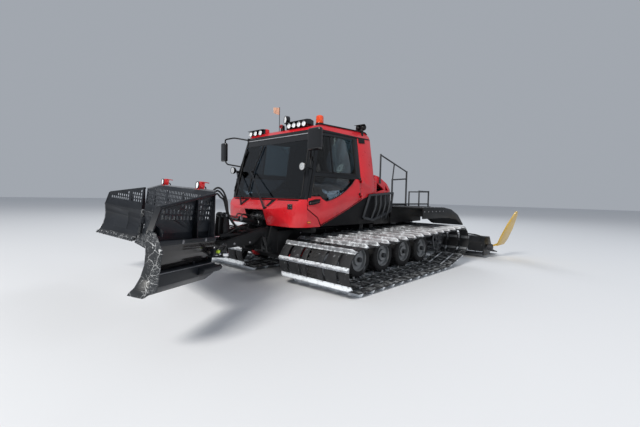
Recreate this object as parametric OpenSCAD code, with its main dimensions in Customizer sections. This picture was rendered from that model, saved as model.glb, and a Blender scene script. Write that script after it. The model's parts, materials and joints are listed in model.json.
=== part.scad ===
// Snowcat groomer: tracked carrier, hollow cab, folding front blade and rear tiller.
// Millimetres. Forward is -Y, the machine's left is +X, up is +Z, the ground is Z = 0.

/* [Tracks] */
// Distance from the middle to a track's inner edge
track_in = 560; // [520:10:640]
// Width of one track
track_w = 1530; // [1200:10:1600]
// Height of a cleat above its belt
cleat_h = 60; // [30:5:90]
// Thickness of the belts
belt_t = 15; // [8:1:25]
// Radius of the road tyres
tyre_r = 330; // [280:5:380]
// Width of the road tyres
tyre_w = 240; // [160:10:300]
// Radius of the drive sprocket under the belt
sprocket_r = 290; // [250:5:340]
// Height of the drive sprocket's centre
sprocket_z = 560; // [450:10:650]

/* [Cab] */
// Half width of the cab at its foot
cab_half = 1060; // [950:10:1100]
// Half width of the cab at the roof edge
roof_half = 905; // [850:5:950]
// Thickness of walls and doors
wall = 60; // [40:5:80]
// Gap along the doors' front edges
door_gap = 15; // [8:1:20]

/* [Blade] */
// Half width of the blade's middle
blade_half = 1360; // [1200:10:1500]
// Length of a wing
wing_len = 1150; // [900:10:1300]
// Height of the mouldboard
blade_h = 560; // [450:10:700]
// Height of the screen above the mouldboard
screen_h = 480; // [300:10:550]
// Turn to the side at rest, in degrees
blade_yaw = -4.9; // [-25:0.1:25]
// Tilt to the side at rest, in degrees
blade_roll = 2.8; // [-10:0.1:10]
// Lean at rest, in degrees
blade_pitch = -6.75; // [-15:0.05:15]
// Fold of the left wing at rest, in degrees
fold_left = 54.4; // [-20:0.1:62]
// Fold of the right wing at rest, in degrees
fold_right = 19.8; // [-20:0.1:62]

/* [Tiller] */
// Half width of the tiller's housing
tiller_half = 2110; // [1900:10:2200]
// Radius of the tiller rotor out to its teeth
rotor_r = 190; // [150:5:250]
// Lean of the side finishers from level, in degrees
finisher_lean = 65; // [0:1:90]

/* [Hidden] */
$fn = 32;
// Moves the machine so that the origin is under the middle of its box
shift_y = -2067.71;
red = [0.78, 0.10, 0.08];
black = [0.07, 0.07, 0.08];
grey = [0.30, 0.31, 0.33];
steel = [0.62, 0.63, 0.65];
yellow = [0.85, 0.66, 0.10];
glass_tint = [0.10, 0.12, 0.13, 0.6];

// Track path: centre y, centre z, radius of the three end circles
run_wheels = [[420, 405, tyre_r], [3540, 405, tyre_r], [4330, sprocket_z, sprocket_r]];
tyre_y = [420, 1200, 1980, 2760, 3540];
cleats = 33;
tyre_x = track_in + 645;
hull_half = track_in - 130;

function cy(i) = run_wheels[i % 3][0];
function cz(i) = run_wheels[i % 3][1];
function cr(i, t) = run_wheels[i % 3][2] + t;
function span(i) = norm([cy(i + 1) - cy(i), cz(i + 1) - cz(i)]);
function nrm(i) = atan2(cz(i + 1) - cz(i), cy(i + 1) - cy(i)) - acos((cr(i, 0) - cr(i + 1, 0)) / span(i));
function on(i, a, t) = [cy(i) + cr(i, t) * cos(a), cz(i) + cr(i, t) * sin(a)];
function wrap(a) = a < 0 ? a + 360 : a;
// Lengths of the six stretches: line, arc, line, arc, line, arc
function line_l(i, t) = norm(on(i, nrm(i), t) - on(i + 1, nrm(i), t));
function turn(i) = wrap(nrm(i + 1) - nrm(i));
function arc_l(i, t) = turn(i) * PI / 180 * cr(i + 1, t);
function leg(i, t) = line_l(i, t) + arc_l(i, t);
function loop_l(t) = leg(0, t) + leg(1, t) + leg(2, t);
// Place and outward angle at a way s along the loop
function at(s, t, i = 0) = s > leg(i, t) && i < 2 ? at(s - leg(i, t), t, i + 1)
  : s < line_l(i, t)
    ? let (p = on(i, nrm(i), t), q = on(i + 1, nrm(i), t), k = s / line_l(i, t))
      [p[0] + (q[0] - p[0]) * k, p[1] + (q[1] - p[1]) * k, nrm(i)]
    : let (a = nrm(i) + (s - line_l(i, t)) / cr(i + 1, t) * 180 / PI)
      [on(i + 1, a, t)[0], on(i + 1, a, t)[1], a];

// Moves a piece to where the origin is under the middle of the machine
module placed() translate([0, shift_y, 0]) children();

// Extrudes a side view drawn as (y, z) from x0 over a length w
module along_x(x0, w) {
  translate([x0, 0, 0]) rotate([90, 0, 90]) linear_extrude(w) children();
}
// Extrudes a front view drawn as (x, z) from y0 rearward over a length w
module along_y(y0, w) {
  translate([0, y0 + w, 0]) rotate([90, 0, 0]) linear_extrude(w) children();
}
module pair() {
  children();
  mirror([1, 0, 0]) children();
}
// The loop's outline: flats that touch the end circles from outside
module loop_area(t) {
  polygon([for (i = [0:2]) let (n = ceil(turn(i) / 13), st = turn(i) / n)
    for (k = [0:n - 1]) let (a = nrm(i) + (k + 0.5) * st, r = cr(i + 1, t) / cos(st / 2))
      [cy(i + 1) + r * cos(a), cz(i + 1) + r * sin(a)]]);
}
// Cylinder along X between two x places
module rod_x(x0, x1, y, z, r) {
  translate([x0, y, z]) rotate([0, 90, 0]) cylinder(r = r, h = x1 - x0);
}
// Cylinder between two points, turned about its own line
module tube(a, b, r, turned_by = 0) {
  d = b - a;
  l = norm(d);
  translate(a) rotate([0, acos(d[2] / l), atan2(d[1], d[0])]) rotate([0, 0, turned_by]) cylinder(r = r, h = l);
}
// Bent bar through a list of points: eight-sided lengths that run a little past each bend
module tube_run(pts, r, $fn = 8) {
  for (i = [0:len(pts) - 2]) {
    d = (pts[i + 1] - pts[i]) / norm(pts[i + 1] - pts[i]) * r * 0.5;
    tube(pts[i] - (i > 0 ? d : 0 * d), pts[i + 1] + (i < len(pts) - 2 ? d : 0 * d), r);
  }
}

// Chassis

// Tow plates, front and rear: places of their upright pin holes
tow_y = [62, 4743];
module frame() color(black) {
  difference() {
    union() {
      along_x(-hull_half, 2 * hull_half) polygon([[150, 520], [450, 330], [4200, 330], [4650, 520], [4650, 900], [150, 900]]);
      for (b = [[500, 120], [1900, 120], [2250, 90]]) translate([-900, b[0], 880]) cube([1800, 120, b[1]]);
      along_y(3700, 120) polygon(both([[430, 870], [530, 925], [900, 925], [900, 970]]));
      // Ears of the lift cylinders
      for (x = [[-140, 18], [-28, 56], [122, 18]]) along_x(x[0], x[1])
        polygon([[320, 850], [320, 980], [142, 985], [95, 1050], [30, 1062], [-12, 1030], [-10, 985], [60, 930], [110, 860]]);
      // Tow eyes, front and rear
      translate([0, 0, 510]) linear_extrude(40) {
        polygon(both([[110, 170], [100, 60], [60, 12], [30, 0]]));
        polygon(both([[110, 4630], [100, 4745], [60, 4793], [30, 4805]]));
      }
      pair() for (x = [250, 370]) along_x(x, 35)
        polygon([[200, 460], [200, 980], [20, 980], [-70, 700], [-70, 530]]);
      pair() for (x = [250, 370]) along_x(x, 35)
        polygon([[4600, 460], [4600, 1000], [4720, 1000], [4850, 700], [4850, 540]]);
    }
    translate([-370, 2320, 500]) cube([740, 1160, 500]);
    rod_x(-500, 500, 0, 600, 35);
    rod_x(-500, 500, 4780, 620, 35);
    rod_x(-500, 500, 4700, 945, 26);
    for (y = tow_y) translate([0, y, 500]) cylinder(r = 25, h = 60);
  }
  pair() rod_x(240, 415, 0, 600, 34.5);
  pair() rod_x(240, 415, 4780, 620, 34.5);
  rod_x(-142, 142, lift_root[0], lift_root[1], 25.5);
  pair() rod_x(240, 415, 4700, 945, 25.5);
}

module running_gear() color(grey) pair() {
  for (y = tyre_y) {
    rod_x(track_in - 60, tyre_x + tyre_w + 30, y, 405, 45);
    along_x(track_in - 60, 90) {
      polygon([[y - 60, 405], [y + 60, 360], [y + 330, 520], [y + 300, 640], [y + 200, 620]]);
      translate([y, 405]) circle(80);
    }
    rod_x(hull_half, track_in + 40, y + 265, 570, 70);
  }
  rod_x(hull_half, track_in + 140, cy(2), cz(2), 170);
  rod_x(track_in + 130, tyre_x + tyre_w + 60, cy(2), cz(2), 90);
  for (x = [tyre_x - 30, tyre_x + tyre_w]) difference() {
    rod_x(x, x + 30, cy(2), cz(2), sprocket_r - 0.3);
    for (a = [0:60:300]) rod_x(x - 1, x + 31, cy(2) + 185 * cos(a), cz(2) + 185 * sin(a), 55);
  }
  for (a = [0:30:330]) translate([tyre_x - 31, cy(2) + (sprocket_r - 22) * cos(a), cz(2) + (sprocket_r - 22) * sin(a)])
    rotate([0, 90, 0]) cylinder(r = 18, h = tyre_w + 62);
}

module wheels() color([0.05, 0.05, 0.05]) for (y = tyre_y) difference() {
  translate([tyre_x, y, 405]) rotate([0, 90, 0]) rotate_extrude() polygon([[45.5, 20], [110, 20], [110, 60],
    [190, 60], [210, 0], [tyre_r - 30, 0], [tyre_r - 0.3, 30], [tyre_r - 0.3, tyre_w - 30],
    [tyre_r - 30, tyre_w], [210, tyre_w], [190, tyre_w - 60], [110, tyre_w - 60], [110, tyre_w - 20], [45.5, tyre_w - 20]]);
}
module wheels_left() wheels();
module wheels_right() mirror([1, 0, 0]) wheels();

// Belts of one track: place across, width
belts = [[0, 190], [250, 230], [530, 115], [885, 115], [1050, 230], [1330, 200]];
module track() color(black) {
  for (b = belts) along_x(track_in + b[0], b[1]) difference() {
    loop_area(belt_t);
    loop_area(0);
  }
  for (k = [0:cleats - 1]) {
    p = at(k * loop_l(belt_t) / cleats, belt_t);
    translate([0, p[0], p[1]]) rotate([p[2] - 90, 0, 0]) along_x(track_in, track_w)
      polygon([[-36, -6], [36, -6], [15, cleat_h], [-15, cleat_h]]);
  }
}
module track_left() track();
module track_right() mirror([1, 0, 0]) track();

module engine() color(grey) translate([-340, 2340, 500]) cube([680, 1120, 780]);

// Cab

cab_side = [[20, 1000], [-80, 1290], [185, 1465], [450, 2640], [540, 2740], [720, 2800],
  [2080, 2840], [2170, 2760], [2200, 1000]];
cab_side_in = [[90, 1060], [0, 1290], [247, 1450], [512, 2640], [590, 2690], [735, 2738],
  [2060, 2778], [2112, 2720], [2140, 1060]];
cab_front = [[cab_half, 1000], [1050, 1465], [1030, 1880], [roof_half, 2700], [840, 2850]];
cab_front_in = [[1000, 1060], [990, 1465], [970, 1880], [848, 2680], [800, 2778]];
// Plan of the bowed nose
cab_plan = [[350, -85], [600, -60], [850, 0], [980, 100], [1060, 250], [1075, 330], [1075, 2300]];
cab_plan_in = [[330, -12], [580, 5], [818, 62], [932, 152], [1000, 278], [1015, 350], [1015, 2300]];
function both(p) = concat(p, [for (i = [len(p) - 1:-1:0]) [-p[i][0], p[i][1]]]);
module cab_block(side, front) intersection() {
  along_x(-1200, 2400) polygon(side);
  along_y(-300, 3000) polygon(both(front));
}
module cab_solid() intersection() {
  cab_block(cab_side, cab_front);
  linear_extrude(3000) polygon(both(cab_plan));
}
module cab_shell() difference() {
  cab_solid();
  intersection() {
    cab_block(cab_side_in, cab_front_in);
    linear_extrude(3000) polygon(both(cab_plan_in));
  }
}
// Glass skin: 14 mm thick, set 8 mm under the outside
module glass_skin(side_out, side_in, front_out, front_in) difference() {
  cab_block(side_out, front_out);
  cab_block(side_in, front_in);
}
pane_side = [[106, 1006], [8, 1290], [194, 1463], [460, 2640], [546, 2732], [722, 2792],
  [2076, 2832], [2162, 2756], [2192, 1006]];
pane_side_in = [[120, 1020], [22, 1290], [208, 1460], [474, 2640], [558, 2720], [726, 2778],
  [2070, 2818], [2148, 2750], [2178, 1020]];
pane_front = [[cab_half - 8, 1000], [1042, 1465], [1022, 1880], [roof_half - 8, 2698], [834, 2842]];
pane_front_in = [[cab_half - 22, 1000], [1028, 1465], [1008, 1880], [roof_half - 22, 2694], [824, 2828]];
module pane_shell() glass_skin(pane_side, pane_side_in, pane_front, pane_front_in);

band_low = [[560, 1012], [970, 1160], [1290, 1280], [1820, 1500], [2260, 1640]];
door_shape = [[255, 1452], [255, 1312], [505, 1162], [572, 1036], [968, 1178], [1284, 1298], [1725, 1484],
  [1725, 2677], [575, 2645]];
door_hole = [[240, 1462], [240, 1302], [490, 1150], [560, 1014], [970, 1166], [1287, 1286], [1733, 1472],
  [1733, 2698], [562, 2660]];
window_shape = [[470, 1935], [655, 2600], [1600, 2640], [1590, 1945]];
low_glass_shape = [[345, 1525], [560, 1530], [635, 1480], [720, 1445], [900, 1485], [1090, 1555], [1270, 1650], [1440, 1765], [1545, 1870], [430, 1870]];
windshield_shape = [[960, 1480], [895, 2625]];
rear_pane = [[-800, 1750], [800, 1750], [740, 2600], [-740, 2600]];
// Door hinges: axis as (x, y), heights
hinge_at = [1072, 1729];
hinge_z = [1560, 1850];

module cab_base() color(black) intersection() {
  cab_shell();
  union() {
    along_x(-1200, 2400) polygon(concat([[560, 900]], band_low, [[2260, 900]]));
    translate([-1000, 150, 900]) cube([2000, 2200, 160]);
  }
}
module cab_nose() color(red) difference() {
  intersection() {
    cab_shell();
    along_x(-1200, 2400) polygon([[-100, 900], [-100, 1465], [240, 1465], [240, 1302], [490, 1150], [560, 1014], [560, 900]]);
  }
  translate([-1000.5, 150, 900]) cube([2001, 2200, 160.5]);
  translate([-265, -200, 900]) cube([540, 420, 375]);
}
module cab_cell() color(red) {
  difference() {
    intersection() {
      cab_shell();
      along_x(-1200, 2400) polygon(concat([[-100, 1465.5], [240.5, 1465.5], [240.5, 1302], [490.5, 1150.5], [560.5, 1014]], band_low,
        [[2260, 2696], [620, 2655], [460, 2640], [300, 2635], [-100, 2635]]));
    }
    along_x(-1200, 2400) polygon(door_hole);
    along_y(-300, 790) polygon(both(windshield_shape));
    along_y(2100, 200) polygon(rear_pane);
    translate([-1000.5, 150, 900]) cube([2001, 2200, 160.5]);
  }
  // Hinge eyes and pins of the doors
  pair() for (z = hinge_z) {
    translate([hinge_at[0], hinge_at[1], z - 50]) cylinder(r = 20, h = 49);
    translate([1020, hinge_at[1] + 4.5, z - 50]) cube([68, 50, 49]);
    translate([hinge_at[0], hinge_at[1], z - 50]) cylinder(r = 10, h = 100);
  }
}
module roof() color(red) intersection() {
  cab_shell();
  along_x(-1200, 2400) polygon([[300, 2635], [460, 2640], [620, 2655], [2260, 2696], [2260, 2900], [300, 2900]]);
}
module cab_glass() color(glass_tint) intersection() {
  pane_shell();
  union() {
    along_y(-300, 790) polygon(both(windshield_shape));
    along_y(2100, 200) polygon(rear_pane);
  }
}

module door() difference() {
  union() {
    intersection() {
      cab_shell();
      along_x(840, 460) polygon(door_shape);
    }
    for (z = hinge_z) {
      translate([hinge_at[0], hinge_at[1], z]) cylinder(r = 20, h = 49);
      translate([1025, hinge_at[1] - 60, z]) cube([60, 56, 49]);
    }
  }
  translate([0, 0, 900]) cube([1000.5, 3000, 160.5]);
  along_x(840, 460) polygon(window_shape);
  along_x(840, 460) polygon(low_glass_shape);
  for (z = hinge_z) translate([hinge_at[0], hinge_at[1], z - 1]) cylinder(r = 10.1, h = 60);
}
// Where the windshield stands at a height
function pane_y(z) = 185 + (z - 1465) * 265 / 1175;
function nose_y(z) = -80 + (z - 1290) * 265 / 175;
module door_glass() intersection() {
  pane_shell();
  along_x(840, 460) {
    polygon(window_shape);
    polygon(low_glass_shape);
  }
}
module door_left() color(red) door();
module door_left_glass() color(glass_tint) door_glass();
module door_right() color(red) mirror([1, 0, 0]) door();
module door_right_glass() color(glass_tint) mirror([1, 0, 0]) door_glass();

module seat(x, y, w) translate([x, y, 0]) {
  translate([-w / 2 + 60, -150, 1060]) cube([w - 120, 380, 240]);
  translate([-w / 2, -220, 1300]) cube([w, 520, 130]);
  along_x(-w / 2 + 20, w - 40) polygon([[250, 1400], [370, 1400], [470, 2080], [370, 2080]]);
  along_x(-120, 240) polygon([[375, 2070], [455, 2070], [490, 2290], [410, 2290]]);
}
module interior() color(black) {
  seat(-60, 1250, 540);
  seat(620, 1350, 460);
  // Dash across the front
  translate([-760, 330, 1060]) cube([1520, 110, 420]);
  along_x(-700, 1400) polygon([[330, 1479], [520, 1440], [520, 1479], [400, 1560], [330, 1560]]);
  // Armrest console with the blade lever, and the column
  translate([-440, 980, 1060]) cube([120, 520, 560]);
  tube([-380, 1060, 1610], [-380, 1020, 1760], 22);
  translate([-380, 1018, 1770]) sphere(r = 38);
  tube([-60, 440, 1200], [-60, 640, 1520], 35);
  translate([-60, 640, 1520]) rotate([-32, 0, 0]) cylinder(r = 14.5, h = 40);
}
module steering_wheel() color(black) translate([-60, 640, 1520]) rotate([-32, 0, 0]) {
  difference() {
    translate([0, 0, 3]) cylinder(r = 50, h = 50);
    cylinder(r = 15, h = 41);
  }
  translate([0, 0, 30]) rotate_extrude() translate([165, 0]) circle(16);
  for (a = [30, 150, 270]) rotate([0, 0, a]) translate([40, -15, 22]) cube([125, 30, 16]);
}

// Round work lamp: face centre, facing angle about Z, radius
module lamp(p, a, r) translate(p) rotate([90, 0, a]) {
  cylinder(r = r, h = 12);
  translate([0, 0, -70]) cylinder(r1 = r * 0.6, r2 = r, h = 71);
}
module lamps() color([0.85, 0.85, 0.82]) difference() {
  lamp_set();
  cab_solid();
}
// Heights of the lamps over the windshield: driver's side, other side, spotlight
near_lamp_z = 2810;
far_lamp_z = 2775;
spot_z = 2945;
module lamp_set() {
  for (x = [260, 390, 520, 650]) lamp([x, 520, near_lamp_z], 0, 55);
  translate([190, 590, 2720]) cube([530, 90, near_lamp_z - 2760]);
  for (x = [260, 390, 520, 650]) translate([x - 20, 560, 2720]) cube([40, 60, near_lamp_z - 2740]);
  for (x = [-600, -760, -920]) {
    lamp([x, 520, far_lamp_z], 0, 55);
    translate([x - 20, 560, 2640]) cube([40, 60, far_lamp_z - 2655]);
  }
  lamp([110, 560, spot_z], 0, 75);
  translate([90, 600, 2720]) cube([40, 40, spot_z - 2735]);
  translate([-10, 600, 2720]) cylinder(r = 40, h = 140);
  // Beacon
  translate([600, 980, 2750]) cylinder(r = 60, h = 100);
  translate([600, 980, 2840]) cylinder(r = 75, h = 200);
  // Rear lamps
  for (x = [-860, -740, 740, 860]) {
    lamp([x, 2010, 2940], 180, 60);
    translate([x - 20, 1920, 2720]) cube([40, 60, 190]);
  }
  // Lamps on the windshield pillars
  pair() {
    lamp([1010, 150, 2010], 0, 70);
    tube([1032, 212, 2010], [1021, 380, 1990], 16);
  }
}
module cab_fittings() color(black) difference() {
  fitting_set();
  cab_solid();
}
module fitting_set() {
  // Mirror heads, then their arms
  translate([1060, 190, 2260]) cube([330, 90, 390]);
  tube_run([[1100, 260, 2300], [1040, 300, 2240], [960, 375, 2180]], 18);
  tube_run([[1100, 260, 2560], [925, 450, 2560]], 18);
  translate([-1560, 190, 2210]) cube([200, 80, 400]);
  tube_run([[-900, 470, 2640], [-1200, 300, 2700], [-1440, 240, 2680], [-1440, 240, 2580]], 16);
  tube_run([[-1440, 240, 2230], [-1400, 260, 2160], [-970, 370, 2090]], 16);
  // Wipers as (x, z): root, foot of the blade, where the arm holds it, top
  for (w = [[[330, 1300], [-520, 1560], [-500, 1975], [-335, 2480]], [[-460, 1350], [-1010, 1585], [-983, 1975], [-865, 2420]]]) {
    r = [w[0][0], nose_y(w[0][1]), w[0][1]];
    m = [w[2][0], pane_y(w[2][1]), w[2][1]];
    translate(r - [28, 34, 40]) cube([56, 90, 60]);
    tube(r + [-14, -26, 0], m + [-14, -62, 0], 9, 3);
    tube(r + [16, -26, 8], m + [16, -64, -14], 8, 5);
    tube(m + [-22, -60, 0], m + [22, -58, -10], 15, 7);
    tube(m + [4, -66, -4], m + [4, -20, 4], 13, 9);
    tube_run([for (k = [1:3]) [w[k][0], pane_y(w[k][1]) - 22, w[k][1]]], 19);
  }
  // Flag pole
  tube_run([[-160, 640, 2740], [-160, 640, 3240]], 8);
  translate([-163, 490, 3080]) cube([6, 150, 150]);
}

// Rear body

cover_side = [[2250, 1300], [2250, 2010], [2430, 1985], [2740, 1845], [2880, 1700], [2880, 1300]];
module engine_covers() color(red) {
  difference() {
    along_x(-1000, 2000) polygon([[2230, 970], [2230, 1960], [2420, 1935], [2720, 1800], [2850, 1670], [2850, 970]]);
    along_x(-960, 1920) polygon([[2270, 900], [2270, 2100], [2810, 2100], [2810, 900]]);
    for (z = [1380:70:1590]) translate([-800, 2700, z]) cube([1600, 300, 35]);
    translate([-420, 2700, 960]) cube([840, 300, 340]);
    pair() along_x(900, 200) polygon([[2330, 1640], [2330, 1840], [2620, 1700]]);
    pair() along_x(900, 200) polygon([[2660, 1680], [2660, 1790], [2780, 1680]]);
  }
  // Hood hinges
  pair() {
    for (x = [570, 662]) along_x(x, 28) {
      translate(hood_pin) circle(15);
      translate([2232, 1940]) square([26, 45]);
    }
    rod_x(570, 690, hood_pin[0], hood_pin[1], 8);
  }
}
hood_pin = [2245, 1985];
module hood() color(red) {
  along_x(-985, 1970) polygon([[2270, 1990], [2425, 1968], [2745, 1825], [2875, 1695],
    [2852, 1671], [2721, 1801], [2421, 1936], [2270, 1956]]);
  pair() along_x(600, 60) difference() {
    union() {
      translate(hood_pin) circle(15);
      translate(hood_pin + [0, 3]) square([30, 12]);
    }
    translate(hood_pin) circle(8.1);
  }
}
module tube_guards() color(grey) {
  // Side guards: frame, bulging bars that lean, stand-offs
  pair() {
    along_x(1062, 26) difference() {
      polygon([[1985, 1590], [1765, 1130], [1790, 1095], [2115, 1045], [2795, 1225], [2875, 1640], [2840, 1655]]);
      polygon([[2010, 1552], [1812, 1140], [2112, 1092], [2755, 1262], [2826, 1604]]);
    }
    for (y = [2080, 2250, 2420, 2590]) translate([0, y + 60, 1340]) rotate([-16, 0, 0]) along_y(-14, 28)
      polygon([[1063, 262], [1085, 262], [1135, 60], [1130, -60], [1085, -262], [1063, -262], [1105, -50], [1110, 50]]);
    for (c = [[2300, 1560], [2760, 1600], [2300, 1090], [2700, 1200]]) translate([1000, c[0], c[1]]) cube([63, 30, 30]);
  }
  // Deck rails, straight lengths: from, to, radius
  rails = [
    [[960, 3000, 1325], [960, 3000, 1950], 20], [[960, 3620, 1325], [960, 3620, 2160], 21],
    [[960, 3005, 1930], [960, 3615, 1980], 17], [[1021, 2420, 2420], [966, 3600, 2146], 16],
    [[963, 3000, 1935], [1000, 3000, 2290], 14], [[960, 2990, 1390], [960, 4795, 1390], 16],
    [[960, 4270, 1325], [960, 4270, 1725], 19], [[960, 4258, 1708], [960, 4792, 1708], 15],
    [[960, 4780, 1325], [960, 4780, 1727], 20], [[966, 4780, 1700], [388, 4780, 1700], 16],
    [[400, 4780, 1325], [400, 4780, 1715], 19], [[1021, 2420, 1820], [1021, 2420, 2440], 18]];
  pair() translate([1000, 2405, 1835]) cube([23, 30, 50]);
  pair() for (i = [0:len(rails) - 1]) tube(rails[i][0], rails[i][1], rails[i][2], i * 7 + 5, $fn = 8);
}
// Fender over the rear of a track, drawn as (y, z)
fender_top = [[2900, 1335], [3900, 1335], [4300, 1285], [4700, 1150], [5050, 900]];
fender_low = [[5024, 884], [4686, 1130], [4292, 1262], [3898, 1311], [2900, 1311]];
skirt_low = [[4965, 900], [4640, 1035], [4250, 1085], [3800, 1100], [2900, 1100]];
// Bolt holes in the deck for a rack: spacing across and along
rack_bolts = [600, 400];
module deck() color(black) {
  difference() {
    translate([-1000, 2900, 1290]) cube([2000, 1950, 35]);
    for (x = [-1, 1], y = [-1, 1]) translate([x * rack_bolts[0] / 2, 4050 + y * rack_bolts[1] / 2, 1200]) cylinder(r = 6.6, h = 200);
  }
  pair() along_x(990, 790) polygon(concat(fender_top, fender_low));
  pair() for (x = [982, 1758]) along_x(x, 24) polygon(concat(fender_top, skirt_low));
  pair() translate([470, 2900, 970]) cube([510, 1450, 321]);
  for (y = [3600, 4500]) translate([-420, y, 900]) cube([840, 60, 395]);
}

// Front linkage and blade

// The blade turns, tilts and leans about pins near this point
joint_j = [0, -1270, 850];
module yawed() translate(joint_j) rotate([0, 0, blade_yaw]) children();
module rolled() yawed() rotate([0, blade_roll, 0]) children();
// Leaning pin as (y, z): on the tilt plate, and on the blade's back
pin_plate = [-202, -177];
pin_blade = [150, 100];
module blade_place() rolled() translate([0, pin_plate[0], pin_plate[1]]) rotate([blade_pitch, 0, 0])
  translate([0, -pin_blade[0], -pin_blade[1]]) children();

// Ear pins of the slew cylinders on the slew head, left one as (x, y)
slew_pin = [218, 20];
slew_root = [200, -440, 850];
function turned(p, a) = [p[0] * cos(a) - p[1] * sin(a), p[0] * sin(a) + p[1] * cos(a)];
function slew_root_of(side) = [side * slew_root[0], slew_root[1], slew_root[2]];
function slew_eye_of(side) = let (q = turned([side * slew_pin[0], slew_pin[1]], blade_yaw))
  [joint_j[0] + q[0], joint_j[1] + q[1], joint_j[2]];

module lift_frame() color(black) {
  difference() {
    union() {
      pair() {
        rod_x(290, 365, 0, 600, 75);
        along_x(290, 75) polygon([[-45, 560], [55, 600], [60, 900], [20, 965], [-60, 968], [-900, 778], [-960, 760],
          [-960, 690], [-880, 672], [-470, 690], [-340, 700], [-140, 830], [-72, 790]]);
        // Ears of the slew cylinders
        for (z = [782, 890]) translate([150, -500, z]) cube([100, 150, 28]);
        translate([150, -385, 700]) cube([100, 35, 218]);
      }
      // Uprights that carry the lift cylinders' eyes
      for (x = [[-140, 18], [-28, 56], [122, 18]]) along_x(x[0], x[1])
        polygon([[-770, 705], [-640, 705], [-648, 1000], [-664, 1190], [-684, 1216], [-716, 1216], [-736, 1190], [-752, 1000]]);
      translate([-365, -960, 690]) cube([730, 120, 90]);
      translate([-300, -770, 700]) cube([600, 130, 80]);
      translate([-300, -470, 690]) cube([600, 120, 80]);
      for (z = [710, 945]) {
        translate([0, joint_j[1], z]) cylinder(r = 70, h = 45);
        translate([-70, joint_j[1], z]) cube([140, 360, 45]);
      }
      translate([-105, -1000, 690]) cube([210, 90, 300]);
    }
    rod_x(-500, 500, 0, 600, 35);
    rod_x(-500, 500, lift_eye[0], lift_eye[1], 16.5);
    translate([0, joint_j[1], 600]) cylinder(r = 40.5, h = 500);
    pair() translate([slew_root[0], slew_root[1], 700]) cylinder(r = 20, h = 300);
  }
  pair() translate([slew_root[0], slew_root[1], 782]) cylinder(r = 19.5, h = 136);
  rod_x(-142, 142, lift_eye[0], lift_eye[1], 16);
}

// Cylinder drawn along +X from its base pin: barrel, and rod with a wide eye
module barrel(l, r, er, w, bore) difference() {
  union() {
    translate([0, 0, -w / 2]) cylinder(r = er + 22, h = w);
    translate([er + 8, 0, 0]) rotate([0, 90, 0]) cylinder(r = r, h = l - er - 8);
  }
  translate([0, 0, -100]) cylinder(r = er, h = 200);
  translate([er + 60, 0, 0]) rotate([0, 90, 0]) cylinder(r = bore + 0.06, h = l);
}
module ram_rod(start, l, r, er, w) difference() {
  union() {
    translate([start, 0, 0]) rotate([0, 90, 0]) cylinder(r = r, h = l - start - er - 8);
    translate([l, 0, -w / 2]) rotate([0, 0, 17]) cylinder(r = er + 18, h = w);
  }
  translate([l, 0, -100]) cylinder(r = er, h = 200);
}
// Cylinders that swing in the (y, z) plane, from a base to an eye
lift_root = [40, 1010];
lift_eye = [-700, 1180];
rear_root = [4700, 945];
rear_eye = [5350, 800];
module swing_place(x, a, b) translate([x, a[0], a[1]]) rotate([90, 0, 90])
  rotate([0, 0, atan2(b[1] - a[1], b[0] - a[0])]) children();
module lift_barrels() color(grey) for (x = [-75, 75]) swing_place(x, lift_root, lift_eye) barrel(480, 42, 26.2, 70, 24);
module lift_rods() color(steel) for (x = [-75, 75]) swing_place(x, lift_root, lift_eye)
  ram_rod(200, norm(lift_eye - lift_root), 24, 30, 60);

module slew_place(side) {
  a = slew_root_of(side);
  b = slew_eye_of(side);
  translate(a) rotate([0, 0, atan2(b[1] - a[1], b[0] - a[0])]) children();
}
module slew_barrels() color(grey) for (side = [-1, 1]) slew_place(side) barrel(430, 36, 20, 60, 19);
module slew_rod(side) color(steel) slew_place(side) ram_rod(250, norm(slew_eye_of(side) - slew_root_of(side)), 19, 40, 36);
module slew_rod_left() slew_rod(1);
module slew_rod_right() slew_rod(-1);

module slew_head() color(black) yawed() {
  translate([-90, -60, -94]) cube([180, 120, 188]);
  translate([0, 0, -138]) cylinder(r = 40, h = 276);
  pair() for (z = [-46, 24]) translate([60, -15, z]) cube([190, 70, 22]);
  translate([0, -50, 0]) rotate([90, 0, 0]) cylinder(r = 60, h = 130);
  pair() translate([slew_pin[0], slew_pin[1], -46]) cylinder(r = 13, h = 92);
}
module tilt_plate() color(black) rolled() {
  difference() {
    union() {
      translate([-280, -155, -240]) cube([560, 75, 390]);
      pair() along_x(205, 60) polygon([[-150, -240], [-150, -110], [-205, -140], [-235, -165], [-235, -205], [-215, -230]]);
    }
    translate([0, 10, 0]) rotate([90, 0, 0]) cylinder(r = 60.5, h = 300);
    rod_x(-400, 400, pin_plate[0], pin_plate[1], 22);
  }
  pair() rod_x(145, 268, pin_plate[0], pin_plate[1], 21.5);
}

// Mouldboard profile drawn as (y, z): front face curve, then the back
board_front = [[-70, 0], [-28, 70], [18, 170], [38, 280], [34, 380], [18, 480], [0, blade_h]];
board_t = 18;
function board() = concat(board_front, [for (i = [len(board_front) - 1:-1:0]) board_front[i] + [board_t + (i == 0 ? 14 : 0), 0]]);
// Perforated screen under a top line given as (x, z), its foot running on by flare at the line's end
hole = 40;
hole_pitch = 60;
module screen(top, flare, gaps) along_y(6, 10) difference() {
  x0 = top[0][0];
  x1 = top[len(top) - 1][0];
  polygon(concat([[x0, blade_h - 10]], top, [[x1 + flare, blade_h - 10]]));
  for (x = [x0 + 40 : hole_pitch : x1 - hole - 20], z = [blade_h + 130 : hole_pitch : 1200])
    if (z + hole + 22 < min(lookup(x, top), lookup(x + hole, top)))
      if (min([for (g = gaps) abs(x + hole / 2 - g)]) > 42) translate([x, z]) square(hole);
}
// Post behind the screen, up to the top line
function post_shape(top) = [[-30, 20], [60, 20], [90, 60], [90, 500], [60, blade_h], [16, top],
  [6, top], [6, blade_h], [40, 300], [20, 150]];
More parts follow.
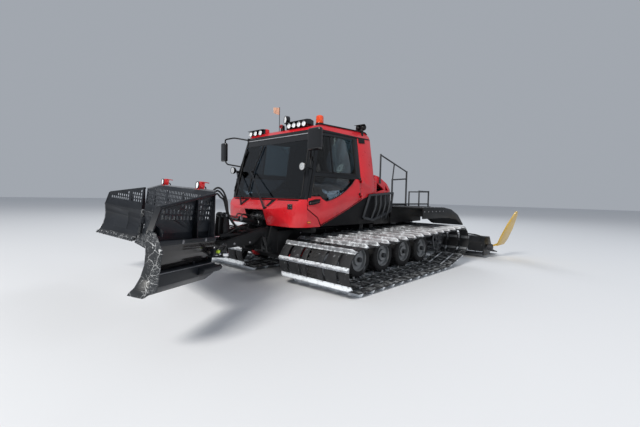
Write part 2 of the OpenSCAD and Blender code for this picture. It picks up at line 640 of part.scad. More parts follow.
// The middle screen's top line drops towards the right wing: how far, over what length
screen_drop = 90;
screen_drop_run = 705;
// Wing cylinders: root place from the hinge, eye line behind the face, height
wing_root = -760;
wing_line = 166;
wing_z = 300;
wing_arm = 190;
function wing_eye(fold) = [wing_arm * cos(110 - fold), wing_arm * sin(110 - fold)];
module blade_centre() color(black) blade_place() {
  w = blade_half - 55;
  along_x(-w, 2 * w) polygon(board());
  top = [[-w, blade_h + screen_h - screen_drop], [screen_drop_run - w, blade_h + screen_h], [w, blade_h + screen_h]];
  screen(top, 0, [-905, -322, 322, 895]);
  difference() {
    union() {
      translate([-w + 100, 30, 60]) cube([2 * w - 200, 60, 120]);
      translate([-w + 100, 30, 400]) cube([2 * w - 200, 60, 100]);
      for (x = [-w, -905, -332, 312, 885, w - 20]) along_x(x, 20) polygon(post_shape(lookup(x, top)));
      pair() along_x(145, 52) polygon([[85, 60], [150, 70], [180, 90], [180, 120], [150, 145], [85, 180]]);
      pair() for (z = [wing_z - 56, wing_z + 38]) translate([blade_half + wing_root - 45, 85, z]) cube([90, 130, 18]);
      pair() translate([blade_half + wing_root - 45, 60, 170]) cube([90, 30, 240]);
    }
    rod_x(-400, 400, pin_blade[0], pin_blade[1], 22);
    pair() translate([blade_half + wing_root, wing_line, 0]) cylinder(r = 20, h = 600);
  }
  pair() translate([blade_half + wing_root, wing_line, wing_z - 56]) cylinder(r = 19.5, h = 112);
  // Two small lamps with hoods on the screen's top edge
  for (x = [-520, 820]) {
    translate([x, 50, blade_h + screen_h + 52]) rotate([90, 0, 0]) cylinder(r = 50, h = 60);
    translate([x - 62, -10, blade_h + screen_h - 4]) cube([124, 110, 14]);
    translate([x - 62, 30, blade_h + screen_h + 96]) cube([124, 90, 12]);
    translate([x - 62, 50, blade_h + screen_h - 4]) cube([124, 12, 106]);
  }
  // Hinge knuckles and the long hinge pins
  pair() {
    for (z = [20, 330]) difference() {
      union() {
        translate([blade_half, 0, z]) cylinder(r = 34, h = 110);
        translate([w - 10, 0, z]) cube([60, 25, 110]);
      }
      translate([blade_half, 0, z - 1]) cylinder(r = 16, h = 120);
    }
    translate([blade_half, 0, 20]) cylinder(r = 15.5, h = 540);
  }
}
module wing_barrels() color(grey) blade_place() pair() translate([blade_half + wing_root, wing_line, wing_z]) barrel(480, 34, 20, 58, 18);
module wing_rod(fold) color(steel) translate([blade_half + wing_root, wing_line, wing_z])
  ram_rod(fold > 40 ? 330 : 250, wing_eye(fold)[0] - wing_root, 18, 39, 36);
module wing_rod_left() blade_place() wing_rod(fold_left);
module wing_rod_right() blade_place() mirror([1, 0, 0]) wing_rod(fold_right);
// One wing; the screen's top at its hinge and at its tip
module wing_body(top_in, top_out) {
  w = wing_len;
  e = wing_eye(0);
  along_x(55, w - 55) polygon(board());
  along_x(w - 20, 20) polygon([[-70, 0], [60, 0], [160, 90], [160, 420], [100, blade_h + 20], [0, blade_h],
    [34, 380], [38, 280], [18, 170], [-28, 70]]);
  along_y(0, 60) polygon([[w - 20, blade_h - 20], [w, blade_h - 20], [w - 90, top_out], [w - 110, top_out]]);
  tube([w - 106, 24, top_out], [62, 24, top_in], 19, 11, $fn = 10);
  translate([100, 30, 90]) cube([w - 110, 110, 120]);
  translate([100, 25, 400]) cube([w - 110, 100, 100]);
  along_x(75, 20) polygon([[-30, 20], [60, 20], [110, 90], [110, 480], [40, top_in], [6, top_in - 5], [6, blade_h], [40, 300], [20, 150]]);
  along_x(w * 0.36, 16) polygon([[12, 160], [60, 60], [90, 100], [90, 480], [40, top_in - 80], [8, top_in - 80], [8, blade_h], [36, 300]]);
  screen([[60, top_in], [w - 108, top_out]], 108, [w * 0.36 + 8]);
  // Ears for the wing cylinder, and hinge knuckles
  for (z = [wing_z - 38, wing_z + 20]) difference() {
    translate([0, 0, z]) linear_extrude(18) polygon([[80, 30], [110, 100], [-20, 205], [-85, 208], [-98, 170], [-60, 148], [30, 125], [60, 60]]);
    translate([e[0], e[1], z - 1]) cylinder(r = 14.5, h = 20);
  }
  translate([e[0], e[1], wing_z - 38]) cylinder(r = 14, h = 76);
  for (z = [140, 445]) difference() {
    union() {
      translate([0, 0, z]) cylinder(r = 34, h = 110);
      translate([5, 0, z]) cube([60, 25, 110]);
    }
    translate([0, 0, z - 1]) cylinder(r = 16, h = 120);
  }
}
module wing_left() color(black) blade_place() translate([blade_half, 0, 0]) rotate([0, 0, -fold_left]) wing_body(1005, 800);
module wing_right() color(black) blade_place() mirror([1, 0, 0]) translate([blade_half, 0, 0]) rotate([0, 0, -fold_right]) wing_body(950, 780);

// Rear linkage and tiller

module rear_barrels() color(grey) for (x = [-327, 327]) swing_place(x, rear_root, rear_eye) barrel(400, 38, 26.2, 60, 20);
module rear_rods() color(steel) for (x = [-327, 327]) swing_place(x, rear_root, rear_eye)
  ram_rod(260, norm(rear_eye - rear_root), 20, 26, 40);
module rear_frame() color(black) {
  difference() {
    union() {
      pair() {
        rod_x(290, 365, 4780, 620, 75);
        along_x(290, 75) polygon([[4760, 560], [4740, 670], [5200, 720], [5480, 640], [5480, 420], [5300, 420]]);
        for (x = [287, 350]) along_x(x, 17) polygon([[5270, 700], [5310, 820], [5350, 842], [5390, 820], [5440, 640]]);
      }
      translate([-365, 5360, 420]) cube([730, 120, 200]);
      translate([0, 5470, 480]) rotate([-90, 0, 0]) cylinder(r = 60, h = 164);
    }
    rod_x(-500, 500, 4780, 620, 35);
    rod_x(-500, 500, rear_eye[0], rear_eye[1], 16.5);
  }
  pair() rod_x(287, 367, rear_eye[0], rear_eye[1], 16);
}
tiller_y = 5900;
rotor_z = 290;
module tiller_housing() color(black) translate([0, tiller_y, 0]) {
  along_x(-tiller_half, 2 * tiller_half) polygon([[-260, 190], [-260, 430], [-120, 560],
    [160, 560], [340, 330], [340, 250], [300, 250], [300, 320], [140, 525], [-110, 525], [-225, 420], [-225, 190]]);
  difference() {
    pair() along_x(tiller_half - 30, 30) polygon([[-240, 90], [-240, 430], [-110, 540], [150, 540], [310, 330], [250, 90]]);
    rod_x(-3000, 3000, 0, rotor_z, 40.5);
  }
  difference() {
    translate([-260, -330, 330]) cube([520, 90, 260]);
    translate([0, -400, 480]) rotate([-90, 0, 0]) cylinder(r = 60.5, h = 300);
  }
  pair() translate([250, -330, 330]) cube([800, 90, 120]);
  // Rubber smoothing comb behind the housing
  along_x(-tiller_half + 40, 2 * tiller_half - 80) polygon([[300, 262], [700, 120], [1000, 60], [1000, 78], [706, 140], [330, 290]]);
  // Hinge lugs and pins of the side finishers
  pair() {
    for (y = [150, 300]) translate([tiller_half - 10, y, 276]) cube([60, 26, 48]);
    translate([tiller_half + 26, 150, 300]) rotate([-90, 0, 0]) cylinder(r = 12, h = 176);
  }
}
module tiller_rotor() color(grey) {
  rod_x(-tiller_half + 36, tiller_half - 36, tiller_y, rotor_z, 90);
  rod_x(-tiller_half, tiller_half, tiller_y, rotor_z, 40);
  for (k = [0:35]) translate([-tiller_half + 80 + k * (2 * tiller_half - 160) / 35, tiller_y, rotor_z]) rotate([k * 77, 0, 0])
    translate([-12, -20, -rotor_r]) cube([24, 40, 2 * rotor_r]);
}
// A finisher's leaf as (out from the hinge, rearward)
leaf = [[90, 170], [90, 780], [240, 860], [560, 760], [1000, 450], [1110, 260], [1095, 120], [760, 40], [400, 60]];
module finisher() translate([tiller_half + 26, tiller_y, 300]) rotate([0, -finisher_lean, 0]) difference() {
  union() {
    translate([0, 182, 0]) rotate([-90, 0, 0]) cylinder(r = 24, h = 112);
    along_y(182, 112) polygon([[-10, -14], [8, 16], [142, -98], [142, -122], [96, -122]]);
    translate([0, 0, -140]) linear_extrude(24) polygon(leaf);
  }
  translate([0, 100, 0]) rotate([-90, 0, 0]) cylinder(r = 12.5, h = 400);
}
module finisher_left() color(yellow) finisher();
module finisher_right() color(yellow) mirror([1, 0, 0]) finisher();

placed() frame();
placed() running_gear();
placed() wheels_left();
placed() wheels_right();
placed() track_left();
placed() track_right();
placed() cab_base();
placed() cab_cell();
placed() cab_nose();
placed() roof();
placed() cab_glass();
placed() interior();
placed() steering_wheel();
placed() engine();
placed() engine_covers();
placed() hood();
placed() tube_guards();
placed() deck();
placed() lamps();
placed() cab_fittings();
placed() door_left();
placed() door_left_glass();
placed() door_right();
placed() door_right_glass();
placed() lift_frame();
placed() lift_barrels();
placed() lift_rods();
placed() slew_head();
placed() slew_barrels();
placed() slew_rod_left();
placed() slew_rod_right();
placed() tilt_plate();
placed() blade_centre();
placed() wing_barrels();
placed() wing_left();
placed() wing_right();
placed() wing_rod_left();
placed() wing_rod_right();
placed() rear_frame();
placed() rear_barrels();
placed() rear_rods();
placed() tiller_housing();
placed() tiller_rotor();
placed() finisher_left();
placed() finisher_right();
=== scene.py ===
"""Snowcat groomer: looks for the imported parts, laid out as an add-on and run as a script."""
import json
import math

import bmesh
import bpy
from bpy.props import FloatProperty, FloatVectorProperty, PointerProperty
from mathutils import Matrix, Vector


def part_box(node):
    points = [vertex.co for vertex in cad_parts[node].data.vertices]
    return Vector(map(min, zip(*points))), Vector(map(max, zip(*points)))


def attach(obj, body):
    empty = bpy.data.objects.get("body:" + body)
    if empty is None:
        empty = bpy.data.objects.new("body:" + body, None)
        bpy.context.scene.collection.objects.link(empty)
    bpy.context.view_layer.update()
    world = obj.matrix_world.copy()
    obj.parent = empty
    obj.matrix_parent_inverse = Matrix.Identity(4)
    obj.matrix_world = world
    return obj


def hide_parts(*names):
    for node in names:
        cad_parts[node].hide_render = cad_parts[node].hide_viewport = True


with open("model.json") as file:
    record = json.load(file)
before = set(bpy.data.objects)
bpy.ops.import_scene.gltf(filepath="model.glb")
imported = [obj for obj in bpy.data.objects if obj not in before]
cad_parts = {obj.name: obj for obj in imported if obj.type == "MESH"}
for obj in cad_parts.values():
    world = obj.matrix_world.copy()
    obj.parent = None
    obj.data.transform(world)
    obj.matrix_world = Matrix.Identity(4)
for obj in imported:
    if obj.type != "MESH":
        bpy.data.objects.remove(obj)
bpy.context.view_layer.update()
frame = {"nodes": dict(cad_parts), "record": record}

bl_info = {
    "name": "Snow groomer dresser",
    "version": (1, 1, 0),
    "blender": (4, 5, 0),
    "location": "View3D > Sidebar > Groomer",
    "description": "Dresses the packed parts of a snow groomer",
    "category": "Object",
}

# Rearward shift between the machine's own measures and the frame, in metres
SHIFT_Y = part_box("engine")[0].y - 2.340
BODY_OF = {n: b for b, names in frame["record"]["behaviour"]["bodies"].items() for n in names}
SLOT_OF = {row["node"]: row["material_slot"] for row in frame["record"]["subparts"]}


def at(x, y, z):
    """Place given in the machine's own millimetres."""
    return Vector((x / 1000, y / 1000 + SHIFT_Y, z / 1000))


def mm_of(place):
    """The machine's own millimetres of a place in the frame."""
    return Vector((place.x * 1000, (place.y - SHIFT_Y) * 1000, place.z * 1000))


def deg(a):
    return math.radians(a)


def shift(x, y, z):
    return Matrix.Translation((x, y, z))


def spin(a, axis):
    return Matrix.Rotation(deg(a), 4, axis)


# Machine millimetres to the frame, then the places of the blade and its wings
MACHINE = shift(0, SHIFT_Y, 0) @ Matrix.Scale(0.001, 4)
MIRROR = Matrix.Diagonal((-1, 1, 1, 1))
BLADE = (MACHINE @ shift(0, -1270, 850) @ spin(-4.9, "Z") @ spin(2.8, "Y") @ shift(0, -202, -177)
         @ spin(-6.75, "X") @ shift(0, -150, -100))
WING_PIN_X = 1360
WING_LEFT = BLADE @ shift(WING_PIN_X, 0, 0) @ spin(-54.4, "Z")
WING_RIGHT = BLADE @ MIRROR @ shift(WING_PIN_X, 0, 0) @ spin(-19.8, "Z")


# Directions, and the two flanks as (sign, name, place)
LEFT, FRONT, REAR, UP = (1, 0, 0), (0, -1, 0), (0, 1, 0), (0, 0, 1)
FLANKS = ((1, "left", MACHINE), (-1, "right", MACHINE @ MIRROR))

# Pins and cylinder ends that the linkages share: (y, z)
LIFT_PIN, LIFT_ROOT, LIFT_EYE = (0, 600), (40, 1010), (-700, 1180)
REAR_PIN, REAR_ROOT, REAR_EYE = (4780, 620), (4700, 945), (5350, 800)
# Blade: lamps across it and the height of its board
BLADE_LAMP_X = (-520, 820)
BOARD_TOP = 560
# Tiller: half its length, middle along and height of its rotor
TILLER_HALF, TILLER_Y, TILLER_Z = 2110, 5900, 290
FINISHER_HINGE = (2136, TILLER_Y, 300)
DECK_Z = 1325


# Properties a user would change


class GroomerPaint(bpy.types.PropertyGroup):
    red: FloatVectorProperty(name="Cab red", description="Colour of the cab and the engine covers",
                             subtype="COLOR", size=3, min=0, max=1, default=(0.60, 0.012, 0.020))
    black: FloatVectorProperty(name="Chassis black", description="Colour of the chassis and the linkages",
                               subtype="COLOR", size=3, min=0, max=1, default=(0.006, 0.0065, 0.0075))
    blade: FloatVectorProperty(name="Blade black", description="Colour of the blade and its screens",
                               subtype="COLOR", size=3, min=0, max=1, default=(0.010, 0.012, 0.016))
    yellow: FloatVectorProperty(name="Finisher yellow",
                                description="Colour of the tiller's side finishers", subtype="COLOR",
                                size=3, min=0, max=1, default=(0.62, 0.38, 0.03))
    frost: FloatProperty(name="Frost", description="How much frost lies on the running gear",
                         subtype="FACTOR", min=0, max=1, default=0.5)


class GroomerSizes(bpy.types.PropertyGroup):
    edge: FloatProperty(name="Panel edge", description="Width of the rounding on panel edges",
                        unit="LENGTH", min=0.001, max=0.01, default=0.006)


# Mesh building, in the machine's own millimetres


class Shape:
    """Collects closed solids into one mesh, each with its material's number."""

    def __init__(self, *materials, place=MACHINE):
        self.mesh = bmesh.new()
        self.materials = list(materials)
        self.slot = 0
        self.place = place

    def use(self, material):
        if material not in self.materials:
            self.materials.append(material)
        self.slot = self.materials.index(material)
        return self

    def inside(self, place):
        """Later solids are drawn in this place."""
        self.place = place
        return self

    def keep(self, part):
        bmesh.ops.recalc_face_normals(part, faces=part.faces)
        flip = self.place.determinant() < 0
        made = {}
        for v in part.verts:
            made[v] = self.mesh.verts.new(self.place @ v.co)
        for f in part.faces:
            corners = [made[v] for v in f.verts]
            g = self.mesh.faces.new(corners[::-1] if flip else corners)
            g.material_index = self.slot
            g.smooth = True
        part.free()
        return self

    def block(self, low, high, edge=4, turn=None, steps=2):
        """Box between two corners with rounded edges; turn is a matrix about its middle."""
        part = bmesh.new()
        low, high = Vector(low), Vector(high)
        size, mid = high - low, (high + low) / 2
        bmesh.ops.create_cube(part, size=1)
        for v in part.verts:
            v.co = Vector((v.co.x * size.x, v.co.y * size.y, v.co.z * size.z))
        if edge:
            edge = min(edge, min(size) * 0.45)
            bmesh.ops.bevel(part, geom=part.edges[:], offset=edge, segments=steps, profile=0.5,
                            affect="EDGES")
        bmesh.ops.transform(part, matrix=shift(*mid) @ (turn or Matrix.Identity(4)), verts=part.verts)
        return self.keep(part)

    def plate(self, outline, start, depth, axis="X", edge=0, steps=2):
        """Flat outline pushed along an axis: (y, z) for X, (x, z) for Y, (x, y) for Z."""
        part = bmesh.new()
        across = "XYZ".index(axis)
        rings = []
        for w in (start, start + depth):
            spots = [[*corner[:across], w, *corner[across:]] for corner in outline]
            rings.append([part.verts.new(spot) for spot in spots])
        low, high = rings
        part.faces.new(low[::-1])
        part.faces.new(high)
        bridge(part, low, high)
        bmesh.ops.recalc_face_normals(part, faces=part.faces)
        if edge:
            bmesh.ops.bevel(part, geom=part.edges[:], offset=edge, segments=steps, profile=0.5,
                            affect="EDGES", clamp_overlap=True)
        return self.keep(part)

    def lathe(self, profile, place, axis, sides=28):
        """Solid of revolution: profile as (radius, height) pairs, turned about axis at place."""
        part = bmesh.new()
        turn = Vector(axis).normalized().to_track_quat("Z", "Y").to_matrix().to_4x4()
        rings = []
        for r, h in profile:
            spots = [(r * math.cos(a), r * math.sin(a), h) for a in around(sides)] if r else [(0, 0, h)]
            rings.append([part.verts.new(spot) for spot in spots])
        for a, b in zip(rings, rings[1:]):
            for k in range(sides):
                m = (k + 1) % sides
                corners = [a[k % len(a)], a[m % len(a)], b[m % len(b)], b[k % len(b)]]
                corners = [c for i, c in enumerate(corners) if c not in corners[:i]]
                if len(corners) > 2:
                    part.faces.new(corners)
        if profile[0] != profile[-1]:
            for ring in (rings[0], rings[-1]):
                if len(ring) > 1:
                    part.faces.new(ring)
        bmesh.ops.remove_doubles(part, verts=part.verts, dist=1e-4)
        bmesh.ops.transform(part, matrix=shift(*place) @ turn, verts=part.verts)
        return self.keep(part)

    def tube(self, points, radius, sides=12, smooth=0, closed=False):
        """Round bar along points; smooth puts that many steps between them on a curve."""
        points = [Vector(p) for p in points]
        if smooth:
            points = curve_through(points, smooth)
        part = bmesh.new()
        n = len(points)
        tangents = []
        for i in range(n):
            a = points[i - 1] if i or closed else points[0]
            b = points[(i + 1) % n] if i < n - 1 or closed else points[-1]
            tangents.append((b - a).normalized())
        side = tangents[0].orthogonal().normalized()
        rings = []
        for i, middle in enumerate(points):
            side = (side - side.dot(tangents[i]) * tangents[i]).normalized()
            other = tangents[i].cross(side)
            r = radius[i] if isinstance(radius, list) else radius
            rings.append([part.verts.new(middle + (side * math.cos(a) + other * math.sin(a)) * r)
                          for a in around(sides)])
        for low, high in zip(rings, rings[1:] + (rings[:1] if closed else [])):
            bridge(part, low, high)
        if not closed:
            part.faces.new(rings[0])
            part.faces.new(rings[-1])
        return self.keep(part)

    def hose(self, points, radius=11, sides=10):
        """Bent hose that is held at both ends."""
        return self.use("hose_black").tube(points, radius, sides, smooth=6)

    def bolt(self, place, axis, radius=11, height=9):
        """Hexagon head on a washer."""
        self.lathe([(radius * 1.5, -1), (radius * 1.5, height * 0.25)], place, axis, 12)
        return self.lathe([(radius, 0), (radius, height * 0.8), (radius * 0.8, height)], place, axis, 6)

    def data(self, name, sharp):
        made = bpy.data.meshes.new(name)
        self.mesh.to_mesh(made)
        self.mesh.free()
        for m in self.materials:
            made.materials.append(MATERIALS[m])
        made.set_sharp_from_angle(angle=deg(sharp))
        return made

    def done(self, name, body, slot, replaces=(), sharp=38):
        """Turns the collected solids into a piece that rides on a body."""
        return settle(linked(name, self.data(name, sharp)), body, slot, replaces)


def linked(name, data):
    """New object in the scene's collection."""
    made = bpy.data.objects.new(name, data)
    bpy.context.scene.collection.objects.link(made)
    return made


def settle(piece, body, slot, replaces):
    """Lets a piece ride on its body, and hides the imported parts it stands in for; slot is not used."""
    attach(piece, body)
    if replaces:
        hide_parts(*replaces)
    return piece


def around(count, start=0):
    """Even angles of a full turn."""
    return [2 * math.pi * (k + start) / count for k in range(count)]


def bridge(part, low, high):
    """Faces between two rings of corners."""
    n = len(low)
    for i in range(n):
        part.faces.new((low[i], low[(i + 1) % n], high[(i + 1) % n], high[i]))


def curve_through(points, steps):
    """Even curve through all points."""
    out = []
    for i in range(len(points) - 1):
        p1, p2 = points[i], points[i + 1]
        p0 = points[i - 1] if i else p1 * 2 - p2
        p3 = points[i + 2] if i < len(points) - 2 else p2 * 2 - p1
        for s in range(steps):
            t = s / steps
            out.append(0.5 * (2 * p1 + (p2 - p0) * t + (2 * p0 - 5 * p1 + 4 * p2 - p3) * t * t
                              + (3 * p1 - p0 - 3 * p2 + p3) * t ** 3))
    return out + [points[-1].copy()]


def rounded(points, radius, steps=5):
    """Puts an arc of that radius on each inner corner of a run of points."""
    points = [Vector(p) for p in points]
    out = [points[0]]
    for a, b, c in zip(points, points[1:], points[2:]):
        u, v = (a - b), (c - b)
        r = min(radius, u.length * 0.45, v.length * 0.45)
        p, q = b + u.normalized() * r, b + v.normalized() * r
        for s in range(steps + 1):
            t = s / steps
            out.append(p * (1 - t) ** 2 + b * 2 * t * (1 - t) + q * t * t)
    out.append(points[-1])
    return out


def clean_copy(name):
    """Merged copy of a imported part's triangles, flat faces joined."""
    source = frame["nodes"][name].data
    part = bmesh.new()
    part.from_mesh(source)
    for layer in list(part.loops.layers.uv):
        part.loops.layers.uv.remove(layer)
    bmesh.ops.remove_doubles(part, verts=part.verts, dist=2e-5)
    bmesh.ops.dissolve_limit(part, angle_limit=deg(0.5), verts=part.verts, edges=part.edges,
                             use_dissolve_boundaries=False)
    return part


def soften(name, material, width=None, sharp=40, steps=2, angle=32, cuts=(), rule=None):
    """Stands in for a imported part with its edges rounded.

    cuts are planes as (point, normal) in the machine's millimetres where a colour changes;
    rule gives a face's material from its middle and normal."""
    part = clean_copy(name)
    for point, normal in cuts:
        bmesh.ops.bisect_plane(part, geom=part.verts[:] + part.edges[:] + part.faces[:], dist=1e-5,
                               plane_co=at(*point), plane_no=normal)
    data = bpy.data.meshes.new(name + "_soft")
    part.to_mesh(data)
    part.free()
    data.polygons.foreach_set("use_smooth", [True] * len(data.polygons))
    piece = linked(name + "_soft", data)
    bevel = piece.modifiers.new("edge", "BEVEL")
    bevel.width = width or bpy.context.scene.groomer_sizes.edge
    bevel.segments = steps
    bevel.limit_method = "ANGLE"
    bevel.angle_limit = deg(angle)
    bevel.use_clamp_overlap = True
    made = baked(piece)
    made.materials.clear()
    names = [material]
    if rule:
        for face in made.polygons:
            finish = rule(mm_of(face.center), face.normal) or material
            if finish not in names:
                names.append(finish)
            face.material_index = names.index(finish)
    for label in names:
        made.materials.append(MATERIALS[label])
    made.set_sharp_from_angle(angle=deg(sharp))
    return settle(piece, BODY_OF[name], SLOT_OF[name], [name])


def baked(piece):
    """Gives the piece the mesh that its modifiers make, and removes them."""
    graph = bpy.context.evaluated_depsgraph_get()
    data = bpy.data.meshes.new_from_object(piece.evaluated_get(graph))
    data.name = piece.name
    piece.modifiers.clear()
    piece.data = data
    return data


def dress(name, material):
    """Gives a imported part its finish."""
    data = frame["nodes"][name].data
    data.materials.clear()
    data.materials.append(MATERIALS[material])


COPY_NODES = (
    ("given", "NodeGroupInput"), ("turn", "GeometryNodeInputNamedAttribute"),
    ("euler", "FunctionNodeEulerToRotation"), ("source", "GeometryNodeObjectInfo"),
    ("copies", "GeometryNodeInstanceOnPoints"), ("whole", "GeometryNodeRealizeInstances"),
    ("paint", "GeometryNodeSetMaterial"), ("result", "NodeGroupOutput"),
)
# Links as node, its output, next node, its input
COPY_LINKS = (
    ("given", "Points", "copies", "Points"), ("given", "Piece", "source", "Object"),
    ("source", "Geometry", "copies", "Instance"), ("turn", "Attribute", "euler", "Euler"),
    ("euler", "Rotation", "copies", "Rotation"), ("given", "Size", "copies", "Scale"),
    ("copies", "Instances", "whole", "Geometry"), ("whole", "Geometry", "paint", "Geometry"),
    ("given", "Finish", "paint", "Material"), ("paint", "Geometry", "result", "Copies"),
)


def copies_tree():
    """Geometry tree that puts a piece on every point, turned by the point's attribute."""
    known = bpy.data.node_groups.get("place_copies")
    if known:
        return known
    tree = bpy.data.node_groups.new("place_copies", "GeometryNodeTree")
    for label, kind in (("Points", "Geometry"), ("Piece", "Object"), ("Finish", "Material"),
                        ("Size", "Float")):
        tree.interface.new_socket(name=label, in_out="INPUT", socket_type="NodeSocket" + kind)
    tree.interface.new_socket(name="Copies", in_out="OUTPUT", socket_type="NodeSocketGeometry")
    nodes = {label: tree.nodes.new(kind) for label, kind in COPY_NODES}
    nodes["turn"].data_type = "FLOAT_VECTOR"
    nodes["turn"].inputs["Name"].default_value = "turn"
    for start, out_label, end, in_label in COPY_LINKS:
        tree.links.new(nodes[start].outputs[out_label], nodes[end].inputs[in_label])
    return tree


def spread(name, body, slot, places, build, finish, replaces=(), sharp=38):
    """Copies of one shape at many places, as one piece.

    places are matrices in the frame; build draws the shape about the origin in millimetres."""
    shape = Shape(finish, place=Matrix.Scale(0.001, 4))
    build(shape)
    pattern = linked(name + "_pattern", shape.data(name + "_pattern", sharp))
    points = bpy.data.meshes.new(name)
    points.from_pydata([m.translation for m in places], [], [])
    turns = points.attributes.new("turn", "FLOAT_VECTOR", "POINT")
    for i, m in enumerate(places):
        turns.data[i].vector = m.to_euler()
    piece = linked(name, points)
    modifier = piece.modifiers.new("copies", "NODES")
    modifier.node_group = copies_tree()
    inputs = [item for item in modifier.node_group.interface.items_tree if item.in_out == "INPUT"]
    keys = {item.name: item.identifier for item in inputs}
    modifier[keys["Piece"]] = pattern
    modifier[keys["Finish"]] = MATERIALS[finish]
    modifier[keys["Size"]] = 1.0
    made = baked(piece)
    bpy.data.objects.remove(pattern)
    made.materials.clear()
    made.materials.append(MATERIALS[finish])
    made.set_sharp_from_angle(angle=deg(sharp))
    if "turn" in made.attributes:
        made.attributes.remove(made.attributes["turn"])
    return settle(piece, body, slot, replaces)


# Materials

MATERIALS = {}
GROUPS = {}
FROST_WHITE = (0.74, 0.78, 0.82)


def put(tree, kind, values=None, **settings):
    """New node; a value may be a number or another node's socket."""
    made = tree.nodes.new(kind)
    for key, value in settings.items():
        setattr(made, key, value)
    for key, value in (values or {}).items():
        feed(tree, value, made.inputs[key])
    return made


def feed(tree, value, socket):
    if isinstance(value, bpy.types.NodeSocket):
        tree.links.new(value, socket)
    else:
        socket.default_value = value


def group_of(name, inputs, outputs):
    """Empty shader group with float inputs (name, value) and float outputs."""
    tree = bpy.data.node_groups.new(name, "ShaderNodeTree")
    for label, value in inputs:
        socket = tree.interface.new_socket(name=label, in_out="INPUT", socket_type="NodeSocketFloat")
        socket.default_value = value
    for label in outputs:
        tree.interface.new_socket(name=label, in_out="OUTPUT", socket_type="NodeSocketFloat")
    given, result = tree.nodes.new("NodeGroupInput"), tree.nodes.new("NodeGroupOutput")
    return tree, given.outputs, result.inputs


def maths(tree, operation, a, b=0.0, clamp=False):
    return put(tree, "ShaderNodeMath", {0: a, 1: b}, operation=operation, use_clamp=clamp).outputs[0]


def times(tree, a, b):
    return maths(tree, "MULTIPLY", a, b)


def ramp(tree, value, low, high, to_low=0.0, to_high=1.0):
    values = {"Value": value, "From Min": low, "From Max": high, "To Min": to_low, "To Max": to_high}
    return put(tree, "ShaderNodeMapRange", values, interpolation_type="SMOOTHSTEP").outputs["Result"]


def noise(tree, place, scale, detail=3.0, rough=0.6, output="Fac"):
    values = {"Vector": place, "Scale": scale, "Detail": detail, "Roughness": rough}
    return put(tree, "ShaderNodeTexNoise", values).outputs[output]


def object_place(tree):
    return put(tree, "ShaderNodeTexCoord").outputs["Object"]


def make_frost_group():
    """Mask of frost that clings low down and on what faces up."""
    tree, given, result = group_of("frost", [("Low", 0.5), ("Top", 0.3), ("Reach", 1.0), ("Scale", 6.0)],
                                   ["Mask"])
    place = object_place(tree)
    height = put(tree, "ShaderNodeSeparateXYZ", {0: place}).outputs["Z"]
    coarse = noise(tree, place, given["Scale"], 6.0, 0.65)
    fine = noise(tree, place, 90.0, 4.0, 0.7)
    shape = maths(tree, "ADD", times(tree, coarse, 0.68), times(tree, fine, 0.32))
    depth = maths(tree, "SUBTRACT", 1.0, maths(tree, "DIVIDE", height, given["Reach"]), clamp=True)
    normal = put(tree, "ShaderNodeNewGeometry").outputs["Normal"]
    up = maths(tree, "MAXIMUM", put(tree, "ShaderNodeSeparateXYZ", {0: normal}).outputs["Z"], 0.0)
    push = maths(tree, "ADD", times(tree, depth, given["Low"]), times(tree, up, given["Top"]))
    mask = ramp(tree, maths(tree, "ADD", shape, times(tree, push, 0.6)), 0.66, 0.88)
    tree.links.new(mask, result["Mask"])
    return tree


def make_wear_group():
    """Masks of long thin scratches and fine speckle."""
    tree, given, result = group_of("wear", [("Scratch", 0.5), ("Share", 0.5), ("Crack", 0.0)],
                                   ["Scratch", "Speckle"])
    place = object_place(tree)
    lines = None
    for turned, scale, width in (((0.3, 0.2, 0.5), 9.0, 0.007), ((-0.7, 0.4, -0.9), 13.0, 0.006),
                                 ((1.2, -0.5, 0.2), 7.0, 0.005)):
        mapped = put(tree, "ShaderNodeMapping",
                     {"Vector": place, "Rotation": turned, "Scale": (0.3, 2.6, 2.6)})
        field = noise(tree, mapped.outputs[0], scale, 2.5, 0.5)
        off = maths(tree, "ABSOLUTE", maths(tree, "SUBTRACT", field, 0.5))
        line = ramp(tree, off, 0.0, width, 1.0, 0.0)
        lines = line if lines is None else maths(tree, "MAXIMUM", lines, line)
    broken = times(tree, ramp(tree, noise(tree, place, 4.5, 4.0, 0.65), 0.44, 0.62), given["Share"])
    rough = ramp(tree, noise(tree, place, 120.0, 2.0, 0.6), 0.35, 0.55)
    lines = times(tree, times(tree, times(tree, lines, broken), rough), given["Scratch"])
    # Cracked web of chipped lines, its cells pulled out of shape
    drift = noise(tree, place, 7.0, 2.0, 0.5, "Color")
    pulled = put(tree, "ShaderNodeVectorMath", {0: drift, 1: (0.12, 0.12, 0.12), 2: place},
                 operation="MULTIPLY_ADD")
    cells = put(tree, "ShaderNodeTexVoronoi", {"Vector": pulled.outputs[0], "Scale": 11.0},
                feature="DISTANCE_TO_EDGE")
    web = ramp(tree, cells.outputs["Distance"], 0.004, 0.022, 1.0, 0.0)
    kept = ramp(tree, noise(tree, place, 5.5, 3.0, 0.6), 0.42, 0.52)
    web = times(tree, times(tree, web, kept), given["Crack"])
    tree.links.new(maths(tree, "MAXIMUM", lines, web), result["Scratch"])
    dots = ramp(tree, noise(tree, place, 160.0, 2.0, 0.5), 0.60, 0.68)
    tree.links.new(times(tree, dots, broken), result["Speckle"])
    return tree


def make_grain_group():
    """Height of a fine grain and a slow variation of gloss."""
    tree, given, result = group_of("grain", [("Scale", 200.0), ("Depth", 0.5), ("Patch", 2.0)],
                                   ["Height", "Patch"])
    place = object_place(tree)
    tree.links.new(times(tree, noise(tree, place, given["Scale"]), given["Depth"]), result["Height"])
    tree.links.new(noise(tree, place, given["Patch"], 5.0, 0.6), result["Patch"])
    return tree


